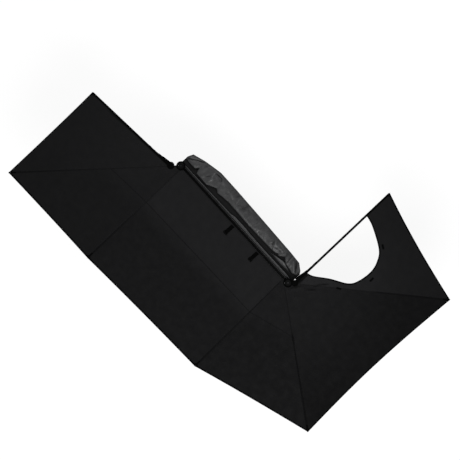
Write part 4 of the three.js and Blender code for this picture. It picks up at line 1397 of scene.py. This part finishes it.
class Cover:
    """The open cover: a soft vinyl bag beside the rail, whose upper layer folds back over itself."""

    # Lines in plan, each from the rear to the front: metres ahead of the rear hub, and beside the hub line
    outer = (
        (-0.036, -0.215), (0.0, -0.262), (0.10, -0.330), (0.30, -0.343), (0.55, -0.350), (1.05, -0.364),
        (1.55, -0.376), (1.90, -0.378), (2.01, -0.358), (2.20, -0.318), (2.39, -0.258), (2.425, -0.175),
    )
    lobe_edge = (
        (-0.036, -0.190), (0.06, -0.142), (0.10, -0.152), (0.235, -0.168), (0.316, -0.230), (0.390, -0.170),
        (0.425, -0.186), (0.46, -0.168), (0.55, -0.156), (0.80, -0.150), (1.10, -0.146), (1.30, -0.155),
        (1.50, -0.160), (1.65, -0.142), (1.715, -0.130), (1.774, -0.168), (1.86, -0.125), (1.93, -0.092),
        (2.145, -0.096), (2.178, -0.180), (2.215, -0.140), (2.30, -0.128), (2.425, -0.140),
    )
    flap = (
        (-0.036, -0.052), (0.10, -0.064), (0.60, -0.064), (0.95, -0.069), (1.02, -0.074), (1.26, -0.074),
        (1.34, -0.058), (1.70, -0.054), (1.95, -0.050), (2.22, -0.049), (2.425, -0.050),
    )
    flap_half = (
        (-0.036, 0.006), (0.10, 0.009), (0.95, 0.008), (1.02, 0.011), (1.26, 0.011), (1.34, 0.0075),
        (2.425, 0.007),
    )

    # Creases of the upper layer: from, to, height and half width, in metres; below zero is a furrow
    creases = (
        ((-0.010, -0.225), (0.085, -0.305), 0.008, 0.012), ((0.070, -0.185), (0.170, -0.280), 0.008, 0.012),
        ((0.030, -0.185), (0.130, -0.300), -0.007, 0.010), ((0.222, -0.335), (0.215, -0.180), 0.006, 0.007),
        ((0.245, -0.330), (0.240, -0.200), -0.004, 0.012), ((0.400, -0.262), (0.530, -0.250), 0.008, 0.008),
        ((0.530, -0.250), (0.585, -0.292), 0.008, 0.008), ((0.560, -0.268), (0.522, -0.186), 0.009, 0.008),
        ((0.430, -0.312), (0.510, -0.318), 0.005, 0.010), ((0.450, -0.238), (0.505, -0.196), 0.007, 0.009),
        ((0.420, -0.240), (0.505, -0.222), -0.007, 0.010), ((0.610, -0.300), (0.575, -0.205), -0.006, 0.012),
        ((0.316, -0.236), (0.318, -0.300), -0.004, 0.016), ((0.640, -0.176), (1.220, -0.176), 0.003, 0.012),
        ((0.740, -0.190), (0.820, -0.340), 0.003, 0.030), ((1.160, -0.170), (1.420, -0.200), 0.004, 0.016),
        ((1.250, -0.340), (1.300, -0.230), -0.004, 0.022), ((1.430, -0.360), (1.480, -0.300), -0.003, 0.018),
        ((1.500, -0.248), (1.550, -0.262), 0.009, 0.018), ((1.790, -0.292), (1.826, -0.325), -0.010, 0.006),
        ((1.826, -0.325), (1.955, -0.321), -0.010, 0.006), ((1.826, -0.335), (1.955, -0.333), 0.004, 0.008),
        ((1.952, -0.312), (1.948, -0.235), 0.008, 0.008), ((1.948, -0.235), (1.915, -0.205), 0.008, 0.010),
        ((1.915, -0.205), (1.940, -0.160), 0.006, 0.010), ((1.975, -0.225), (2.020, -0.160), -0.006, 0.010),
        ((2.010, -0.165), (2.060, -0.120), 0.005, 0.012), ((2.080, -0.260), (2.120, -0.150), 0.003, 0.022),
        ((2.186, -0.296), (2.290, -0.238), -0.013, 0.007), ((2.290, -0.238), (2.390, -0.158), -0.013, 0.007),
        ((2.215, -0.305), (2.310, -0.250), 0.006, 0.010), ((2.310, -0.250), (2.400, -0.185), 0.006, 0.009),
        ((2.205, -0.225), (2.270, -0.180), 0.004, 0.020),
    )

    def __init__(self):
        low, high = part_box("cover")
        self.rear, self.front = low[0] + 0.004, high[0] - 0.004
        self.length, self.girth = self.front - self.rear, 0.70
        draw = random.Random(41)
        self.wrinkles = []
        for _ in range(70):
            x, y = draw.uniform(0.0, 2.4), -draw.uniform(0.16, 0.34)
            heading = draw.uniform(0, math.pi)
            length = draw.uniform(0.02, 0.07)
            dx, dy = math.cos(heading) * length, math.sin(heading) * length
            height, width = draw.choice((-0.4, 0.4, 0.7)), draw.uniform(0.006, 0.013)
            self.wrinkles.append(((x - dx, y - dy), (x + dx, y + dy), height, width))

    def section(self, u):
        """The section's points from the bead outward and back: beside the hub line, and height."""
        lines = (self.outer, self.lobe_edge, self.flap, self.flap_half)
        out, lobe, flap, half = (value_at(line, u) for line in lines)
        crown = out + 0.036
        return (
            (-0.0315, 0.0600), (-0.0345, 0.0580), (flap + half, 0.0655), (flap, 0.0712),
            (flap - half, 0.0670), (flap - half - 0.006, 0.0480), (flap - half - 0.012, 0.0280),
            (mix(flap, out, 0.33), 0.0185), (mix(flap, out, 0.6), 0.0150), (crown, 0.0145),
            (out + 0.008, 0.0200), (out, 0.0330), (out + 0.010, 0.0510), (crown, 0.0640),
            (mix(crown, lobe, 0.33), 0.0705), (mix(crown, lobe, 0.66), 0.0700), (lobe - 0.012, 0.0650),
            (lobe, 0.0570), (lobe + 0.0015, 0.0500),
        )

    def base(self, along, q):
        """The smooth surface at a place along the cover and round its section."""
        x = mix(self.rear, self.front, along)
        y, z = curve_at(self.section(x - REAR_PIN.x), q)
        ends = ease(min(x - self.rear, self.front - x) / 0.05)
        return Vector((x, HUB_LINE + y, mix(min(z, 0.036), z, ends)))

    def lumps(self, x, y, upper, lump):
        """The soft unevenness at a place in plan, calmer on the lower layer."""
        height = ripple(x * 4.2, y * 7.0, 1.7) + ripple(x * 12.0, y * 14.0, 7.3) * 0.35
        return (height + ripple(x * 40.0, y * 40.0, 3.1) * 0.10) * lump * mix(0.25, 1.0, upper)

    def creased(self, x, y, upper, wrinkle):
        """How far the listed creases and the drawn wrinkles raise the upper layer at a place in plan."""
        if upper <= 0:
            return 0.0
        total, u, v = 0.0, x - REAR_PIN.x, y - HUB_LINE
        for lines, scale in ((self.creases, 1.0), (self.wrinkles, wrinkle)):
            for (x0, y0), (x1, y1), height, width in lines:
                if not min(x0, x1) - 0.06 < u < max(x0, x1) + 0.06:
                    continue
                dx, dy = x1 - x0, y1 - y0
                near = clip(((u - x0) * dx + (v - y0) * dy) / (dx ** 2 + dy ** 2))
                away = math.hypot(u - mix(x0, x1, near), v - mix(y0, y1, near))
                fade = 0.55 + 0.45 * math.sin(math.pi * near)
                total += scale * height * upper * math.exp(-((away / width) ** 1.5)) * fade
        return total


# Shares of the section where the dark inside shows, the cover's dark lining with painted shade where the
# inside lies in shadow: beside the bead, and along the bag's floor and outer side
INNER_EDGE, LINING_AND_SHADE_START, LINING_AND_SHADE_END = 0.085, 0.235, 0.60

# Each loose fold: its free edge and its root in plan, from the rear to the front, and the heights of both
FOLDS = {
    "cover_inner_fold": (
        ((0.10, -0.126), (0.20, -0.150), (0.27, -0.168), (0.38, -0.145), (0.51, -0.119)),
        ((0.10, -0.120), (0.20, -0.114), (0.27, -0.110), (0.38, -0.110), (0.51, -0.113)), 0.060, 0.040),
    "cover_end_flap": (
        ((2.186, -0.186), (2.205, -0.222), (2.250, -0.226), (2.310, -0.196), (2.385, -0.142)),
        ((2.196, -0.170), (2.215, -0.136), (2.260, -0.130), (2.310, -0.130), (2.378, -0.133)), 0.082, 0.078),
}


class AWNING_OT_cover(bpy.types.Operator):
    """Lay the open cover beside the rail, with its bead, zip and loose folds"""

    bl_idname = "awning.cover"
    bl_label = "Lay Cover"

    def execute(self, context):
        sizes = context.scene.awning_cover
        cover = Cover()
        flat = (cover.length, cover.girth)
        bm = bmesh.new()
        self.add_bag(bm, cover, sizes)
        piece = finish_piece("cover_bag", bm, ["vinyl", "lining"], "root", sizes.thickness)
        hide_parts("cover", "cover_bead")
        rests, area = ["base_rail", "bracket_middle"], sheet_area(piece, flat)
        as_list(rests)
        for name, shape in FOLDS.items():
            self.add_fold(name, *shape, sizes.thickness)
        self.add_zip(cover)
        return {"FINISHED"}

    def add_bag(self, bm, cover, sizes):
        """The bag's sheet with its lumps and creases, and the bead along its inner edge; its tone is darker
        towards the rear end, with painted highlights along the near flap's top and on the raised creases, and
        painted shade in the furrows.
        """
        tone = bm.verts.layers.float.new("tone")
        mapped = strip(cover.length, cover.girth)
        verts, faces = lay_grid(
            bm, sizes.rows, sizes.columns, lambda a, b: cover.base(b, a), uv=mapped)
        layer = bm.loops.layers.uv.verify()
        for vert in verts:
            x, y, z = vert.co
            q = vert.link_loops[0][layer].uv.y / cover.girth
            upper = ease((q - 0.62) / 0.10) * ease((1.0 - q) / 0.05)
            creased = cover.creased(x, y, upper, sizes.crease)
            raised = cover.lumps(x, y, upper, sizes.lump) + creased
            highest = mix(0.092, 0.0745, ease((y - HUB_LINE + 0.125) / 0.02))
            vert.co.z = min(max(z + raised * ease(q / 0.3), 0.0105), highest)
            # Tone: darker towards the rear end, a painted highlight along the near flap's top, painted
            # highlights on the ridges and painted shade in the furrows
            level = mix(0.82, 1.0, ease((x - REAR_PIN.x - 0.16) / 0.14)) + 0.6 * bell((q - 0.17) / 0.05)
            vert[tone] = clip(level + creased * (95.0 if creased > 0 else 130.0), 0.12, 1.9)
        # Faces of the dark inside: the cover's lining with painted shade
        for face in faces:
            q = sum(loop[layer].uv.y for loop in face.loops) / len(face.loops) / cover.girth
            face.material_index = 1 if q < INNER_EDGE or LINING_AND_SHADE_START < q < LINING_AND_SHADE_END else 0
        self.add_bead(bm)
        for vert in bm.verts:
            vert[tone] = vert[tone] or 1.0

    def add_bead(self, bm):
        """The round bead that hooks the cover on the rail's lip."""
        low, high = (Vector(c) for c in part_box("cover_bead"))
        middle, steps = (low + high) / 2, 80
        path = [Vector((mix(low.x, high.x, i / steps), middle.y, middle.z)) for i in range(steps + 1)]
        lay_pipe(bm, path, 0.0036, sides=10)

    def add_fold(self, name, far, near, far_height, near_height, thickness):
        """A loose fold of the same vinyl: the wedge in the bag's rear half, or the flap at its front end."""

        def spot(a, b):
            point = curve_at(near, b).lerp(curve_at(far, b), a)
            rise = mix(near_height, far_height, a) + 0.006 * math.sin(math.pi * a) * math.sin(math.pi * b)
            rise += 0.0016 * ripple(point.x * 30, point.y * 30, 2.0)
            drop = 0.010 * (1 - math.sin(math.pi * clip(b, 0.02, 0.98)) ** 0.5)
            return Vector((*from_hub(*point), rise - drop))

        bm = bmesh.new()
        lay_grid(bm, 16, 60, spot, uv=strip(0.4, 0.06))
        paint(bm, lambda co: 1.15)
        piece = finish_piece(name, bm, ["vinyl"], "root", thickness)

    def add_zip(self, cover):
        """A zip tape along the free edge, with its row of teeth."""
        steps, tooth = 230, Vector((0.0032, 0.0060, 0.0026))
        edge = [cover.base(i / steps, 0.985) - UP * 0.003 for i in range(steps + 1)]
        bm = bmesh.new()

        def spot(a, b):
            return edge[step_of(edge, b)] + Vector((0, 0.010 * a - 0.006, -0.007 * a))

        faces = lay_grid(bm, 3, steps, spot, uv=strip(cover.length, 0.016))[1]
        bmesh.ops.solidify(bm, geom=faces, thickness=0.0010)
        for foot in edge[3:-3]:
            for vert in bmesh.ops.create_cube(bm, size=1.0)["verts"]:
                vert.co = foot + Vector((0, 0.0035, -0.0070)) + vert.co * tooth
        soften(finish_piece("cover_zip", bm, ["nylon"], "root"), 0.0004)


# Stage

# The camera's right and up directions, and the place below its middle
PICTURE_RIGHT, PICTURE_UP = Vector((-0.675, -0.738, 0)), Vector((0.738, -0.675, 0))
PICTURE_MIDDLE = (-0.016, 0.183)
CANOPY_HEIGHT = 0.15


class AWNING_OT_stage(bpy.types.Operator):
    """Set the floor, the soft light and the camera straight above the awning"""

    bl_idname = "awning.stage"
    bl_label = "Set Stage"

    def execute(self, context):
        sizes = context.scene.awning_stage
        scene = context.scene
        scene.view_settings.view_transform = "Standard"
        bpy.ops.mesh.primitive_plane_add(size=80.0, location=(0, 0, 0))
        floor = context.object
        floor.name = "floor"
        floor.data.transform(Matrix.Translation((0, 0.4, -sizes.mount_height)))
        floor.data.materials.append(self.floor_material())
        self.set_world(scene, sizes)
        self.set_lamp(scene, "key", (-3.5, 3.0, 7.5), sizes.key)
        self.set_lamp(scene, "fill", (4.5, -4.0, 6.5), sizes.key * 0.5)
        self.set_camera(scene, sizes)
        return {"FINISHED"}

    def floor_material(self):
        """A pale floor that looks almost white to the camera and still takes soft shadows."""
        made = new_material("Pale floor")
        seen = made.seen()
        white = made.add("ShaderNodeEmission", {"Color": (1, 1, 1, 1), "Strength": 1.0})
        cloudy = made.spread(made.noise(made.place(), 0.6, 3.0), 0.86, 0.90)
        material = made.finish(made.grey(cloudy), 0.9, Specular_IOR_Level=0.1)
        lit = made.tree.nodes["Principled BSDF"].outputs[0]
        both = made.add("ShaderNodeMixShader", {0: made.times(seen, 0.80), 1: lit, 2: white.outputs[0]})
        made.feed(made.tree.nodes["Material Output"].inputs["Surface"], both.outputs[0])
        return material

    def set_world(self, scene, sizes):
        """Even light from all round, and plain white where the camera looks past the awning."""
        scene.world = bpy.data.worlds.new("Soft room")
        made = Nodes(scene.world)
        backdrop = made.tree.nodes["Background"]
        made.feed(backdrop.inputs["Color"], (1, 1, 1, 1))
        made.feed(backdrop.inputs["Strength"], made.ranged(made.seen(), 0.0, 1.0, sizes.ambient, 1.0))

    def set_lamp(self, scene, name, spot, power):
        """A large round lamp aimed at the canopy's middle."""
        lamp = bpy.data.lights.new(name, "AREA")
        lamp.shape, lamp.size, lamp.energy = "DISK", 6.0, power
        holder = bpy.data.objects.new(name, lamp)
        scene.collection.objects.link(holder)
        turn = (Vector(spot) - Vector((0, 0.6, 0))).to_track_quat("Z", "Y").to_matrix().to_4x4()
        holder.matrix_world = Matrix.Translation(spot) @ turn

    def set_camera(self, scene, sizes):
        """A camera that looks straight down, turned as the picture is."""
        lens = bpy.data.cameras.new("camera")
        lens.lens, lens.sensor_width, lens.clip_end = sizes.focal, 36.0, 200.0
        holder = bpy.data.objects.new("camera", lens)
        scene.collection.objects.link(holder)
        right, up = PICTURE_RIGHT.normalized(), PICTURE_UP.normalized()
        turn = Matrix((right, up, right.cross(up))).transposed().to_4x4()
        holder.matrix_world = Matrix.Translation((*PICTURE_MIDDLE, CANOPY_HEIGHT + sizes.distance)) @ turn
        scene.camera = holder


class AWNING_PT_panel(bpy.types.Panel):
    """Lists the awning's pieces and sizes"""

    bl_idname = "AWNING_PT_panel"
    bl_label = "Side Awning"
    bl_space_type = "VIEW_3D"
    bl_region_type = "UI"
    bl_category = "Awning"

    def draw(self, context):
        for name in GROUPS:
            group = getattr(context.scene, name)
            box = self.layout.box()
            for prop in group.bl_rna.properties:
                if prop.identifier not in {"rna_type", "name"}:
                    box.prop(group, prop.identifier)
        for operator in OPERATORS:
            self.layout.operator(operator.bl_idname)


OPERATORS = (
    AWNING_OT_finishes,
    AWNING_OT_metalwork,
    AWNING_OT_side_panel,
    AWNING_OT_fan_panels,
    AWNING_OT_tailgate_panel,
    AWNING_OT_arm_seams,
    AWNING_OT_arm_loops,
    AWNING_OT_hub_covers,
    AWNING_OT_corner_tabs,
    AWNING_OT_straps,
    AWNING_OT_cover,
    AWNING_OT_stage,
)
GROUPS = {
    "awning_cloth": AwningClothSizes,
    "awning_cover": AwningCoverSizes,
    "awning_stage": AwningStageSizes,
}


def register():
    for made in (*GROUPS.values(), *OPERATORS, AWNING_PT_panel):
        bpy.utils.register_class(made)
    for name, group in GROUPS.items():
        setattr(bpy.types.Scene, name, PointerProperty(type=group))


def unregister():
    for name in GROUPS:
        delattr(bpy.types.Scene, name)
    for made in (AWNING_PT_panel, *reversed(OPERATORS), *reversed(GROUPS.values())):
        bpy.utils.unregister_class(made)


def main():
    register()
    bpy.ops.awning.finishes()
    bpy.ops.awning.metalwork()
    bpy.ops.awning.side_panel()
    bpy.ops.awning.fan_panels()
    bpy.ops.awning.tailgate_panel()
    bpy.ops.awning.arm_seams()
    bpy.ops.awning.arm_loops()
    bpy.ops.awning.hub_covers()
    bpy.ops.awning.corner_tabs()
    bpy.ops.awning.straps()
    bpy.ops.awning.cover()
    bpy.ops.awning.stage()


if __name__ == "__main__":
    main()
